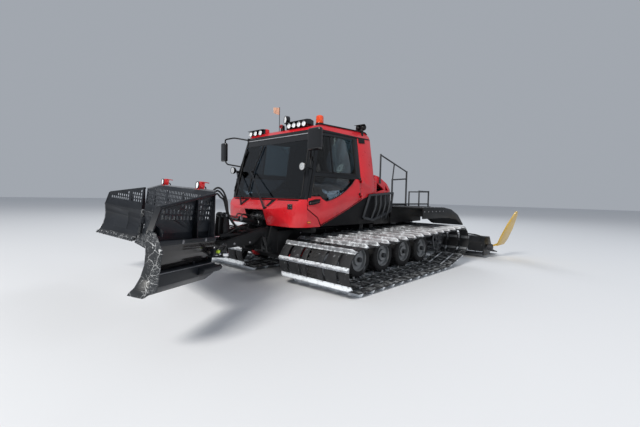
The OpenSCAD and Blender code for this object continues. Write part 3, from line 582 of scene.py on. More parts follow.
def place_group(tree, group, **values):
    made = tree.nodes.new("ShaderNodeGroup")
    made.node_tree = GROUPS[group]
    for key, value in values.items():
        made.inputs[key].default_value = value
    return made.outputs


def blend_colour(tree, mask, under, over):
    """Mixes two colours; under may be a socket."""
    under = (*under, 1) if isinstance(under, tuple) else under
    return put(tree, "ShaderNodeMix", {0: mask, 6: under, 7: (*over, 1)}, data_type="RGBA").outputs[2]


def blend_value(tree, mask, under, over):
    return put(tree, "ShaderNodeMix", {0: mask, 2: under, 3: over}, data_type="FLOAT").outputs[0]


def new_material(name):
    """Adds a material to the list and returns its tree and its shader's inputs."""
    made = bpy.data.materials.new(name)
    made.use_nodes = True
    MATERIALS[name] = made
    return made.node_tree, made.node_tree.nodes["Principled BSDF"].inputs


def finish_of(name, colour, rough, metal=0.0, coat=0.0, tone=0.85, low=0.0, top=0.0, reach=1.0,
              frost_scale=6.0, scratch=0.0, share=1.0, bare=(0.45, 0.45, 0.46), grain=200.0, depth=0.25,
              patch=2.0, speckle=0.0, bump=0.06, gleam=0.5, crack=0.0):
    """Painted, cast or moulded finish with slow tone changes, wear and frost."""
    tree, shader = new_material(name)
    for key, value in (("Metallic", metal), ("Specular IOR Level", gleam), ("Coat Weight", coat),
                       ("Coat Roughness", 0.05)):
        shader[key].default_value = value
    texture = place_group(tree, "grain", Scale=grain, Depth=depth, Patch=patch)
    darker = tuple(c * tone for c in colour)
    tint = blend_colour(tree, ramp(tree, texture["Patch"], 0.38, 0.62), darker, colour)
    gloss = ramp(tree, texture["Patch"], 0.3, 0.7, rough * 0.85, min(1, rough * 1.2))
    if scratch or speckle:
        worn = place_group(tree, "wear", Scratch=scratch, Share=share, Crack=crack)
        mask = worn["Scratch"]
        if speckle:
            mask = maths(tree, "MAXIMUM", mask, times(tree, worn["Speckle"], speckle))
        tint = blend_colour(tree, mask, tint, bare)
        gloss = blend_value(tree, mask, gloss, 0.42)
    if low or top:
        amount = bpy.context.scene.groomer_paint.frost * 2
        cold = place_group(tree, "frost", Low=low * amount, Top=top * amount, Reach=reach,
                           Scale=frost_scale)["Mask"]
        tint = blend_colour(tree, cold, tint, FROST_WHITE)
        gloss = blend_value(tree, cold, gloss, 0.85)
        if metal:
            tree.links.new(blend_value(tree, cold, metal, 0.0), shader["Metallic"])
    relief = put(tree, "ShaderNodeBump", {"Height": texture["Height"], "Strength": bump * 4,
                                          "Distance": 0.002})
    for value, key in ((tint, "Base Color"), (gloss, "Roughness"), (relief.outputs[0], "Normal")):
        tree.links.new(value, shader[key])


def glass_of(name, colour):
    tree, shader = new_material(name)
    shader["Base Color"].default_value = (*colour, 1)
    shader["Transmission Weight"].default_value = 1.0
    shader["IOR"].default_value = 1.45
    texture = place_group(tree, "grain", Scale=30.0, Depth=0.2, Patch=4.0)
    tree.links.new(ramp(tree, texture["Patch"], 0.35, 0.7, 0.02, 0.06), shader["Roughness"])


def make_materials():
    paint = bpy.context.scene.groomer_paint
    GROUPS.update(frost=make_frost_group(), wear=make_wear_group(), grain=make_grain_group())
    red, black, blade, yellow = (tuple(c) for c in (paint.red, paint.black, paint.blade, paint.yellow))
    # Paint
    finish_of("red_enamel", red, 0.30, coat=0.45, tone=0.88, scratch=0.05, share=0.5,
              bare=(0.62, 0.30, 0.28), grain=120.0, depth=0.15, bump=0.02)
    finish_of("black_enamel", black, 0.40, tone=0.7, low=0.05, top=0.02, reach=0.7, scratch=0.10,
              bare=(0.25, 0.26, 0.28), gleam=0.3)
    # Darker black for the cab's underside: painted shade under the cab, where the bright floor lights it
    finish_of("under_black", (0.004, 0.004, 0.005), 0.5, tone=0.7, gleam=0.2)
    finish_of("blade_black", blade, 0.40, tone=0.75, scratch=0.14, share=0.6, bare=(0.40, 0.42, 0.45),
              grain=90.0, depth=0.4, gleam=0.3)
    finish_of("blade_scuffed", (0.020, 0.023, 0.027), 0.45, tone=0.6, scratch=0.8,
              bare=(0.66, 0.67, 0.68), grain=60.0, depth=0.7, speckle=0.06, patch=6.0, gleam=0.4,
              crack=0.7)
    finish_of("shiny_plate", (0.012, 0.010, 0.010), 0.20, coat=0.3, tone=0.6, scratch=0.15, grain=50.0,
              patch=3.0)
    finish_of("worn_steel", (0.34, 0.35, 0.37), 0.38, metal=0.85, tone=0.55, scratch=0.9,
              bare=(0.7, 0.7, 0.72))
    finish_of("grey_powder", (0.030, 0.033, 0.038), 0.45, tone=0.75, low=0.08, reach=0.9, scratch=0.1,
              gleam=0.4)
    finish_of("yellow_enamel", yellow, 0.4, coat=0.2, tone=0.8, low=0.2, top=0.05, reach=1.2, scratch=0.5,
              bare=(0.55, 0.50, 0.40))
    finish_of("red_bracket", (0.42, 0.015, 0.02), 0.35, coat=0.4, tone=0.8, low=0.1, reach=0.9,
              scratch=0.3)
    # Running gear
    finish_of("belt_rubber", (0.014, 0.015, 0.017), 0.72, tone=0.55, low=0.20, top=0.10, reach=1.3,
              grain=60.0, depth=0.8, bump=0.12, patch=5.0, frost_scale=14.0)
    # Cleat colour darkened partly for dust and partly as painted shade over the track's top
    finish_of("cleat_alloy", (0.42, 0.43, 0.45), 0.38, metal=0.6, tone=0.7, low=0.62, top=0.16, reach=1.5,
              scratch=0.6, frost_scale=14.0, bare=(0.85, 0.85, 0.87))
    finish_of("tyre_rubber", (0.020, 0.020, 0.021), 0.8, tone=0.6, low=0.2, top=0.1, reach=0.9,
              grain=70.0, depth=0.6)
    finish_of("rim_grey", (0.26, 0.27, 0.28), 0.42, metal=0.3, tone=0.75, low=0.15, reach=0.9,
              scratch=0.3)
    finish_of("bolt_zinc", (0.40, 0.40, 0.42), 0.35, metal=0.9, tone=0.75, grain=300.0)
    # Trim and rubber
    finish_of("trim_black", (0.007, 0.007, 0.008), 0.42, tone=0.75, grain=260.0, depth=0.6, bump=0.1,
              gleam=0.3)
    finish_of("gloss_black", (0.005, 0.005, 0.006), 0.14, coat=0.4, tone=0.8, grain=120.0, depth=0.2)
    finish_of("seal_rubber", (0.006, 0.006, 0.007), 0.6, tone=0.8, grain=300.0)
    finish_of("frame_grey", (0.007, 0.008, 0.010), 0.32, tone=0.8, grain=160.0, gleam=0.35)
    finish_of("lining_grey", (0.05, 0.053, 0.056), 0.75, tone=0.8, grain=400.0, depth=0.8, bump=0.15)
    finish_of("seat_cloth", (0.030, 0.032, 0.037), 0.9, tone=0.7, grain=700.0, depth=1.0, bump=0.3)
    finish_of("seat_red", (0.30, 0.02, 0.02), 0.85, tone=0.8, grain=700.0, depth=1.0, bump=0.3)
    finish_of("hose_black", (0.008, 0.008, 0.009), 0.45, tone=0.75, grain=400.0, depth=0.7, bump=0.15)
    finish_of("deck_grip", (0.030, 0.032, 0.035), 0.65, tone=0.7, top=0.06, reach=1.6, grain=60.0,
              depth=1.0, bump=0.2)
    finish_of("flag_cloth", (0.86, 0.50, 0.34), 0.8, tone=0.85, grain=600.0, depth=0.8, bump=0.2)
    # Bright parts
    finish_of("chrome_rod", (0.75, 0.76, 0.78), 0.12, metal=1.0, tone=0.93, grain=400.0, depth=0.1)
    finish_of("cast_iron", (0.04, 0.04, 0.045), 0.6, metal=0.2, tone=0.75, grain=140.0, depth=1.0,
              bump=0.15)
    # Pale metal strip at the windshield's top: a painted sun glint
    finish_of("alloy_strip", (0.56, 0.57, 0.59), 0.3, metal=0.7, tone=0.9, grain=300.0)
    finish_of("reflector", (0.85, 0.85, 0.86), 0.15, metal=1.0, tone=0.95, grain=80.0, depth=0.2)
    finish_of("lens_white", (0.84, 0.86, 0.88), 0.10, coat=0.6, tone=0.95, grain=70.0, depth=0.6,
              bump=0.1)
    finish_of("lens_clear", (0.50, 0.52, 0.54), 0.12, coat=0.6, tone=0.8, grain=70.0, depth=0.6, bump=0.1)
    finish_of("beacon_orange", (0.80, 0.075, 0.008), 0.2, coat=0.8, tone=0.8, grain=60.0)
    finish_of("marker_orange", (0.85, 0.22, 0.02), 0.25, coat=0.8, tone=0.85, grain=90.0)
    finish_of("lamp_red", (0.50, 0.012, 0.015), 0.3, coat=0.6, tone=0.85)
    finish_of("mirror_glass", (0.80, 0.82, 0.84), 0.04, metal=1.0, tone=0.97, grain=20.0, depth=0.05)
    finish_of("coupling_green", (0.45, 0.62, 0.04), 0.4, tone=0.85)
    finish_of("screen_dark", (0.01, 0.012, 0.016), 0.12, coat=0.5, tone=0.8)
    glass_of("shield_glass", (0.10, 0.13, 0.17))
    glass_of("side_glass", (0.36, 0.47, 0.44))
    glass_of("dark_glass", (0.16, 0.18, 0.18))


# Tracks

TRACK_IN, TRACK_W, BELT_T, CLEATS = 560, 1530, 15, 33
TRACK_HALF = TRACK_W / 2
TRACK_MID = TRACK_IN + TRACK_HALF
# End circles of the loop: place along, height, radius
RUN_WHEELS = ((420, 405, 330), (3540, 405, 330), (4330, 560, 290))
TYRE_Y = (420, 1200, 1980, 2760, 3540)
# Tyres: inner side, width, and the radii of their lugs' feet and their bolts
TYRE_IN, TYRE_W, LUG_R, BOLTS_R = TRACK_IN + 645, 240, 328, 135
AXLE_Z = RUN_WHEELS[0][1]
SPROCKET_Y, SPROCKET_Z = RUN_WHEELS[2][:2]
BELT_STEPS = 150
# Belts: place across from the track's inner edge, width
BELTS = ((0, 190), (250, 230), (530, 115), (885, 115), (1050, 230), (1330, 200))


def loop_normal(i):
    a, b = RUN_WHEELS[i % 3], RUN_WHEELS[(i + 1) % 3]
    span = math.hypot(b[0] - a[0], b[1] - a[1])
    return math.atan2(b[1] - a[1], b[0] - a[0]) - math.acos((a[2] - b[2]) / span)


def loop_legs(t):
    """Stretches of the loop at a height t: start and end of the line, its outward angle, arc length."""
    for i in range(3):
        a, b = RUN_WHEELS[i], RUN_WHEELS[(i + 1) % 3]
        n = loop_normal(i)
        out = Vector((math.cos(n), math.sin(n)))
        p, q = Vector(a[:2]) + out * (a[2] + t), Vector(b[:2]) + out * (b[2] + t)
        yield p, q, n, ((loop_normal(i + 1) - n) % (2 * math.pi)) * (b[2] + t), b


def loop_length(t):
    return sum((q - p).length + arc for p, q, _, arc, _ in loop_legs(t))


def loop_at(way, t):
    """Place (y, z) and outward angle at a way along the loop."""
    for p, q, n, arc, b in loop_legs(t):
        line = (q - p).length
        if way < line:
            return p + (q - p) * (way / line), n
        way -= line
        if way < arc:
            a = n + way / (b[2] + t)
            return Vector((b[0] + (b[2] + t) * math.cos(a), b[1] + (b[2] + t) * math.sin(a))), a
        way -= arc
    return loop_at(0, t)


def cleat_places(side):
    step = loop_length(BELT_T) / CLEATS
    for k in range(CLEATS):
        spot, a = loop_at(k * step, BELT_T)
        upright = Matrix.Rotation(a - math.pi / 2, 4, "X")
        yield Matrix.Translation(at(side * TRACK_MID, spot.x, spot.y)) @ upright


def draw_cleat(shape):
    """Extruded cleat across the track, its ends cut low."""
    half = ((36, -5), (36, 3), (21, 8), (13, 36), (11, 52), (6, 60))
    outline = [(-36, -5), *half, *((-u, v) for u, v in half[:0:-1])]
    ends = ((TRACK_HALF, 0.25), (TRACK_HALF - 7, 0.45), (TRACK_HALF - 45, 1))
    part = bmesh.new()
    rings = []
    for x, tall in [(-x, tall) for x, tall in ends] + [*ends[::-1]]:
        rings.append([part.verts.new((x, u, v if v < 9 else 8 + (v - 8) * tall)) for u, v in outline])
    for low, high in zip(rings, rings[1:]):
        bridge(part, low, high)
    part.faces.new(rings[0])
    part.faces.new(rings[-1])
    shape.keep(part)


def draw_clamps(shape):
    """Backing plates under the belts, and the horns that keep the tyres in line."""
    for x, w in BELTS:
        start = x - TRACK_HALF
        shape.block((start + 20, -30, -26), (start + w - 20, 30, -15), 3, steps=1)
    for s in (-1, 1):
        shape.plate([(-32, -15), (32, -15), (14, -70), (-14, -70)], s * 139 - 8, 16, edge=3, steps=1)


def draw_bolt(shape):
    shape.bolt((0, 0, 0), UP, 9, 8)


def draw_lug(shape):
    shape.block((-52, -16, -8), (52, 16, 1.5), 2, steps=1)


class TrackOperator(bpy.types.Operator):
    """Tracks: belts, cleats, and the tyres that run inside them"""
    bl_idname = "groomer.tracks"
    bl_label = "Tracks"

    def execute(self, context):
        for side, label, place in FLANKS:
            self.belts(side, label)
            self.cleats(side, label)
            self.wheels(side, label, place)
        soften("running_gear", "grey_powder", 0.003, rule=self.gear_finish)
        return {"FINISHED"}

    def belts(self, side, label):
        shape = Shape("belt_rubber")
        length = loop_length(0)
        for x, w in BELTS:
            section = ((0, 0), (w, 0), (w, 12), (w - 4, BELT_T), (4, BELT_T), (0, 12))
            part = bmesh.new()
            rings = []
            for k in range(BELT_STEPS):
                spot, a = loop_at(length * k / BELT_STEPS, 0)
                ring = [(side * (TRACK_IN + x + u), spot.x + t * math.cos(a), spot.y + t * math.sin(a))
                        for u, t in section]
                rings.append([part.verts.new(corner) for corner in ring])
            for low, high in zip(rings, rings[1:] + rings[:1]):
                bridge(part, low, high)
            shape.keep(part)
        shape.done("belts_" + label, "chassis", "belt_rubber", ["track_" + label])

    def cleats(self, side, label):
        nodes = ["track_" + label]
        places = [*cleat_places(side)]
        # The cleats' darkened colour is partly dust and partly painted shade
        spread("cleats_" + label, "chassis", "belt_rubber", places, draw_cleat, "cleat_alloy", nodes,
               sharp=50)
        spread("clamps_" + label, "chassis", "belt_rubber", places, draw_clamps, "rim_grey", nodes)
        heads = []
        for place in places:
            for x, w in BELTS:
                for share, u in ((0.25, -28), (0.75, 28)):
                    heads.append(place @ shift((x - TRACK_HALF + w * share) / 1000, u / 1000, 0.0035))
        spread("cleat_bolts_" + label, "chassis", "belt_rubber", heads, draw_bolt, "bolt_zinc", nodes)

    def wheels(self, side, label, place):
        flank = [(205, 12), (213, 3), (240, 0), (282, 2), (304, 9), (316, 22), (322, 40)]
        tyre = flank + [(r, TYRE_W - h) for r, h in flank[::-1]] + flank[:1]
        dish = [(46, 18), (104, 18), (110, 24), (112, 56), (150, 64), (186, 58), (196, 30), (200, 14),
                (208, 8)]
        rim = dish + [(r, TYRE_W - h) for r, h in dish[::-1]] + dish[:1]
        shape = Shape("tyre_rubber", place=place)
        lugs = []
        for y in TYRE_Y:
            hub = (TYRE_IN, y, AXLE_Z)
            shape.use("tyre_rubber").lathe(tyre, hub, LEFT, 48)
            shape.use("rim_grey").lathe(rim, hub, LEFT, 40)
            shape.lathe([(0, 235), (30, 235), (44, 226), (46, 205), (0, 205)], hub, LEFT, 20)
            shape.use("bolt_zinc")
            for a in around(8):
                spot = (TYRE_IN + 178, y + BOLTS_R * math.cos(a), AXLE_Z + BOLTS_R * math.sin(a))
                shape.bolt(spot, LEFT, 10, 10)
            for a in around(28, 0.5):
                for row in (-1, 1):
                    x = side * (TYRE_IN + TYRE_W / 2 + row * 62)
                    spot = at(x, y + LUG_R * math.cos(a), AXLE_Z + LUG_R * math.sin(a))
                    lean = Matrix.Rotation(a - math.pi / 2, 4, "X") @ spin(row * 24, "Z")
                    lugs.append(Matrix.Translation(spot) @ lean)
        shape.done("wheels_" + label + "_dressed", "chassis", "tyre", ["wheels_" + label])
        spread("tyre_lugs_" + label, "chassis", "tyre", lugs, draw_lug, "tyre_rubber",
               ["wheels_" + label])

    @staticmethod
    def gear_finish(p, n):
        if abs(p.x) > 1000 and math.hypot(p.y - SPROCKET_Y, p.z - SPROCKET_Z) < 300:
            return "worn_steel"
        return "red_bracket" if abs(p.x) < 620 and p.y < 900 and p.z < 700 else None


class ChassisOperator(bpy.types.Operator):
    """Chassis frame and the engine block"""
    bl_idname = "groomer.chassis"
    bl_label = "Chassis"

    def execute(self, context):
        soften("frame", "black_enamel", 0.005)
        dress("engine", "cast_iron")
        shape = Shape("bolt_zinc")
        for s in (-1, 1):
            for y in range(700, 4200, 350):
                for z in (840, 400):
                    shape.bolt((s * 430, y, z), (s, 0, 0), 12, 10)
            for y, z in ((560, 1000), (1960, 1000), (3760, 970)):
                for x in (520, 640):
                    shape.bolt((s * x, y, z), UP, 12, 10)
        for s in (-1, 1):
            for k, z in enumerate((930, 955, 980)):
                x = 320 - k * 30
                shape.hose([(s * (x - 20), 200, 900), (s * (x - 10), 330, z - 20), (s * x, 470, z - 40),
                            (s * x, 1800, z - 40), (s * x, 2320, z - 60)], 11, 8)
        shape.done("chassis_trim", "chassis", "trim_black")
        return {"FINISHED"}


# Cab

SHIELD_FOOT = 1465
# Outlines of the cab's skin: side view (y, z), front view (x, z), plan (x, y)
CAB_SIDE = ((20, 1000), (-80, 1290), (185, 1465), (450, 2640), (540, 2740), (720, 2800), (2080, 2840),
            (2170, 2760), (2200, 1000), (20, 1000))
CAB_FRONT = ((1060, 1000), (1050, 1465), (1030, 1880), (905, 2700), (840, 2850))
CAB_PLAN = ((350, -85), (600, -60), (850, 0), (980, 100), (1060, 250), (1075, 330), (1075, 2300))


# Where red turns to black: over the door's belt and lip, round the rear pane, under the roof
BELT_Z, DOOR_LIP_Z = 1868, 1490
REAR_PANE_X, REAR_PANE_Z = 860, 1690
ROOF_SIDE_Z, ROOF_FRONT_Z = 2712, 2682


def pane_y(z):
    """The windshield's plane."""
    return 185 + (z - SHIELD_FOOT) * 265 / 1175


def nose_y(z):
    """The nose's slope over its opening."""
    return -80 + (z - 1290) * 265 / 175


def side_x(z):
    """Half width of the cab's skin at a height."""
    for a, b in zip(CAB_FRONT, CAB_FRONT[1:]):
        if z <= b[1]:
            return a[0] + (b[0] - a[0]) * (z - a[1]) / (b[1] - a[1])
    return CAB_FRONT[-1][0]


def off_line(u, v, line):
    """Distance of a flat point from a run of lines."""
    p = Vector((u, v))
    best = 1e9
    for a, b in zip(line, line[1:]):
        a, b = Vector(a), Vector(b)
        d = b - a
        t = max(0, min(1, (p - a).dot(d) / d.length_squared))
        best = min(best, (a + d * t - p).length)
    return best


def on_skin(p):
    return min(off_line(p.y, p.z, CAB_SIDE), off_line(abs(p.x), p.z, CAB_FRONT),
               off_line(abs(p.x), p.y, CAB_PLAN)) < 5


def shell_finish(p, n):
    """Red outside, black edges of the openings, grey lining inside."""
    if on_skin(p):
        return "red_enamel"
    along = (n.y > 0.4 and p.y < 650) or (n.y < -0.4 and p.y > 1950)
    inward = n.x * p.x < -300 or along or (n.z < -0.5 and p.z > 2500)
    return "lining_grey" if inward else "trim_black"


def at_hinge(p):
    """The hinge eyes stand off the skin behind the doors."""
    return abs(p.x) > 1045 and 1690 < p.y < 1790


def cell_finish(p, n):
    if at_hinge(p):
        return "red_enamel"
    if on_skin(p):
        if p.z > SHIELD_FOOT and p.y < pane_y(p.z) + 115:
            return "frame_grey"
        if p.y > 2100 and abs(p.x) < REAR_PANE_X and p.z > REAR_PANE_Z:
            return "frame_grey"
    return shell_finish(p, n)


def strip_y(z):
    """The leaning front edge of the door's low pane."""
    return 346 + (z - 1525) * 85 / 345


def door_finish(p, n):
    if at_hinge(p):
        return "red_enamel"
    if on_skin(p):
        if p.z > BELT_Z or (p.z > DOOR_LIP_Z and p.y < strip_y(p.z)):
            return "frame_grey"
    return shell_finish(p, n)


def roof_finish(p, n):
    dark = (p.z < ROOF_SIDE_Z and abs(n.x) > 0.6) or (p.z < ROOF_FRONT_Z and n.y < -0.5)
    if dark and on_skin(p):
        return "frame_grey"
    return shell_finish(p, n)


def nose_finish(p, n):
    return "red_enamel" if on_skin(p) else "trim_black"


def slab(shape, low, high):
    """Closed slab between two rings of corners."""
    part = bmesh.new()
    low, high = ([part.verts.new(spot) for spot in ring] for ring in (low, high))
    part.faces.new(low)
    part.faces.new(high[::-1])
    bridge(part, low, high)
    shape.keep(part)


def front_slab(shape, corners, surface, thick, rise):
    """Slab whose corners (x, z) lie on a leaning surface, raised off it by rise."""
    slab(shape, *([(x, surface(z) - rise + d, z) for x, z in corners] for d in (0, thick)))


def side_slab(shape, corners, thick, rise):
    """Slab on the left flank, its corners as (y, z), raised off the skin by rise."""
    slab(shape, *([(side_x(z) + rise - d, y, z) for y, z in corners] for d in (0, thick)))


class CabOperator(bpy.types.Operator):
    """Cab panels, doors, seals, rails and trim"""
    bl_idname = "groomer.cab"
    bl_label = "Cab panels"

    def execute(self, context):
        soften("cab_nose", "red_enamel", rule=nose_finish)
        soften("cab_cell", "red_enamel", rule=cell_finish,
               cuts=(((REAR_PANE_X, 0, 0), LEFT), ((-REAR_PANE_X, 0, 0), LEFT),
                     ((0, 0, REAR_PANE_Z), UP)))
        soften("roof", "red_enamel", rule=roof_finish,
               cuts=(((0, 0, ROOF_SIDE_Z), UP), ((0, 0, ROOF_FRONT_Z), UP)))
        for label in ("door_left", "door_right"):
            soften(label, "red_enamel", rule=door_finish,
                   cuts=(((0, 0, BELT_Z), UP), ((0, strip_y(1525), 1525), (0, 1, -85 / 345)),
                         ((0, 0, DOOR_LIP_Z), UP)))
        # The cab's base takes the darker black as painted shade under the cab
        soften("cab_base", "under_black")
        self.front_trim()
        self.flank_trim()
        return {"FINISHED"}

    def front_trim(self):
        shape = Shape("seal_rubber")
        # Seal round the windshield, a bright strip along its top that is a painted sun glint, and the
        # dark band below that
        ring = [(-960, 1480), (960, 1480), (895, 2625), (-895, 2625)]
        points = [Vector((x, pane_y(z) - 1, z)) for x, z in ring]
        foot = (points[-1] + points[0]) / 2
        shape.tube(rounded([foot, *points, foot], 45, 4)[:-1], 11, 8, closed=True)
        shape.use("alloy_strip")
        front_slab(shape, [(-884, 2600), (884, 2600), (882, 2614), (-882, 2614)], pane_y, 12, 5)
        shape.use("gloss_black")
        front_slab(shape, [(-902, 2490), (902, 2490), (886, 2590), (-886, 2590)], pane_y, 4, -5)
        # Black wedges at the wiper roots with red lips, a vent, and a gloss black strip along the crease
        # over the nose that is painted shade
        for x in (330, -460):
            shape.use("trim_black")
            front_slab(shape, [(x - 50, 1330), (x + 40, 1330), (x + 48, 1452), (x - 85, 1452)], nose_y,
                       10, 3)
            shape.use("red_enamel")
            shape.tube([(x + 44, nose_y(1326) - 4, 1326), (x + 52, nose_y(1455) - 4, 1455)], 8, 8)
        # Gloss black strip along the nose's crease: painted shade
        shape.use("gloss_black")
        front_slab(shape, [(-930, 1438), (930, 1438), (934, 1458), (-934, 1458)], nose_y, 8, 2)
        vent = MACHINE @ shift(874, 18, 1342) @ spin(math.degrees(math.atan2(100, 130)), "Z")
        shape.inside(vent).use("trim_black").block((-42, -5, -44), (42, 26, 44), 5)
        shape.use("screen_dark")
        for x in (-19, 19):
            for z in (-20, 20):
                shape.block((x - 14, -8, z - 14), (x + 14, 4, z + 14), 3)
        shape.inside(MACHINE)
        # Hoses and a bracket inside the nose's opening
        shape.use("cast_iron").block((-240, 60, 1080), (250, 150, 1240), 10)
        shape.use("worn_steel").lathe([(34, 0), (34, 60), (22, 66), (22, 90)], (60, 30, 1150), FRONT, 20)
        shape.lathe([(26, 0), (26, 50), (16, 54), (16, 80)], (-90, 30, 1130), FRONT, 20)
        for x, z in ((-180, 1200), (-120, 1210), (140, 1200), (190, 1190)):
            shape.hose([(x, 90, z), (x * 0.9, 0, z - 30), (x * 0.8, -20, z - 90), (x * 0.7, 60, 1040)],
                       12)
        shape.use("red_enamel")
        shape.block((-262, -70, 1268), (272, -40, 1282), 5)
        shape.done("cab_front_trim", "chassis", "trim_black")

    def flank_trim(self):
        shape = Shape("trim_black")
        for _, _, place in FLANKS:
            shape.inside(place)
            # Rail along the roof edge on feet
            shape.use("trim_black").tube(rounded([(868, 600, 2775), (864, 720, 2810), (848, 2070, 2850),
                                                  (852, 2130, 2810)], 60), 13, 10)
            # Vent on the rear pillar with slats
            side_slab(shape, [(1770, 2590), (1972, 2606), (1972, 2698), (1770, 2686)], 16, 8)
            shape.use("seal_rubber")
            for k in range(5):
                y = 1796 + k * 34
                side_slab(shape, [(y, 2602 + k * 3), (y + 14, 2603 + k * 3), (y + 14, 2678 + k * 2),
                                  (y, 2677 + k * 2)], 10, 12)
            # Drip rail over the door, mark lamp on the nose's side
            shape.use("seal_rubber").tube([(side_x(2690) + 4, 480, 2652), (side_x(2690) + 4, 600, 2672),
                                           (side_x(2700) + 4, 2120, 2708)], 8, 8)
            shape.use("marker_orange").block((1052, 250, 1072), (1067, 318, 1100), 5)
            shape.use("trim_black").block((1050, 244, 1066), (1062, 324, 1106), 5)
        shape.done("cab_side_trim", "chassis", "trim_black")
        for _, label, place in FLANKS:
            body = "door_" + label
            shape = Shape("trim_black", place=place)
            # Handle in its black recess with a red surround
            recess = ((268, 1384), (288, 1372), (400, 1378), (540, 1410), (556, 1428), (556, 1462),
                      (540, 1474), (420, 1470), (290, 1446), (268, 1430))
            side_slab(shape, recess, 10, 3)
            ring = [(412 + (y - 412) * 1.09, 1424 + (z - 1424) * 1.22) for y, z in recess]
            shape.use("red_enamel").tube([Vector((side_x(z) + 3, y, z)) for y, z in ring], 10, 8,
                                         closed=True)
            shape.use("gloss_black").tube(rounded([(1052, 306, 1408), (1078, 322, 1410),
                                                   (1076, 500, 1440), (1050, 516, 1444)], 14), 12, 10)
            # Seals of the panes, and the bars between the sliding ones
            shape.use("seal_rubber")
            for ring in (((470, 1935), (655, 2600), (1600, 2640), (1590, 1945)),
                         ((345, 1525), (560, 1530), (635, 1480), (720, 1445), (900, 1485), (1090, 1555),
                          (1270, 1650), (1440, 1765), (1545, 1870), (430, 1870))):
                run = [Vector((side_x(z) + 1, y, z)) for y, z in ring]
                shape.tube(run, 8, 8, closed=True)
            shape.use("trim_black")
            side_slab(shape, [(905, 1940), (937, 1940), (940, 2612), (908, 2610)], 14, -2)
            side_slab(shape, [(560, 1940), (1592, 1947), (1592, 1972), (566, 1966)], 12, -2)
            shape.done(body + "_trim", body, "trim_black")


class PaneOperator(bpy.types.Operator):
    """Cab panes"""
    bl_idname = "groomer.panes"
    bl_label = "Panes"

    def execute(self, context):
        dress("cab_glass", "shield_glass")
        for label in ("door_left_glass", "door_right_glass"):
            soften(label, "side_glass", 0.0008, steps=1, cuts=(((0, 920, 0), REAR),),
                   rule=self.pane_finish)
        return {"FINISHED"}

    @staticmethod
    def pane_finish(p, n):
        return "side_glass" if p.z > 1900 and p.y > 920 else "dark_glass"


# Seats: whose, place across and along, width
SEATS = (("driver", -60, 1250, 540), ("passenger", 620, 1350, 460))
# The steering column's top and its lean back, in degrees
COLUMN_TOP, COLUMN_LEAN = (-60, 640, 1520), 32


def cushion(name, low, high, turn=0.0, axis=2, channels=(), material="seat_cloth"):
    """Crowned pad between two corners, leaned about X; axis is the way it is thin."""
    low, high = Vector(low), Vector(high)
    half, mid = (high - low) / 2, (high + low) / 2
    part = bmesh.new()
    bmesh.ops.create_cube(part, size=2)
    bmesh.ops.subdivide_edges(part, edges=part.edges[:], cuts=15, use_grid_fill=True)
    across, along = [i for i in range(3) if i != axis]
    for v in part.verts:
        p = v.co / (abs(v.co.x) ** 7 + abs(v.co.y) ** 7 + abs(v.co.z) ** 7) ** (1 / 7)
        u, w = p[across], p[along]
        crown = 0.70 + 0.30 * (1 - abs(u) ** 3) * (1 - abs(w) ** 3)
        groove = 1 - 0.16 * sum(math.exp(-((w - c) / 0.045) ** 2) for c in channels)
        p[axis] = p[axis] * crown * groove
        p[across] = u * (1 - 0.035 * (1 - w * w))
        p[along] = w * (1 - 0.035 * (1 - u * u))
        v.co = Vector((p.x * half.x, p.y * half.y, p.z * half.z))
    bmesh.ops.transform(part, matrix=shift(*mid) @ spin(turn, "X"), verts=part.verts)
    shape = Shape(material)
    shape.keep(part)
    piece = shape.done(name, "chassis", "seat_black", ["interior"], sharp=80)


def draw_seats(shape):
    """Seats on their boxes, with posts that hold the head pads."""
    for label, x, y, w in SEATS:
        shape.use("trim_black").block((x - w / 2 + 60, y - 150, 1060), (x + w / 2 - 60, y + 230, 1270),
                                      18)
        shape.use("frame_grey").block((x - w / 2 + 20, y - 200, 1262), (x + w / 2 - 20, y + 280, 1305),
                                      14)
        shape.use("trim_black")
        for post in (x - 60, x + 60):
            shape.tube([(post, y + 405, 2040), (post, y + 440, 2120)], 8)
        cushion(label + "_cushion", (x - w / 2, y - 220, 1300), (x + w / 2, y + 300, 1430),
                channels=(-0.45, 0.45))
        cushion(label + "_back", (x - w / 2 + 20, y + 299, 1400), (x + w / 2 - 20, y + 421, 2080),
                turn=-8.3, axis=1, channels=(-0.5, 0.0, 0.5))
        cushion(label + "_head", (x - 120, y + 392, 2075), (x + 120, y + 472, 2290), turn=-8, axis=1,
                material="seat_red")


def draw_dash(shape):
    """Dash with its hood, a screen and vents."""
    shape.use("trim_black").block((-760, 332, 1060), (760, 438, 1478), 20)
    shape.plate([(332, 1478), (520, 1440), (520, 1476), (402, 1558), (332, 1558)], -700, 1400, edge=8)
    shape.use("screen_dark").block((130, 415, 1500), (380, 440, 1655), 6, turn=spin(-18, "X"))
    shape.use("trim_black").block((120, 428, 1490), (390, 455, 1665), 8, turn=spin(-18, "X"))
    for x in (-640, -420, 460, 620):
        shape.use("seal_rubber").block((x - 55, 425, 1500), (x + 55, 440, 1535), 5, turn=spin(-40, "X"))


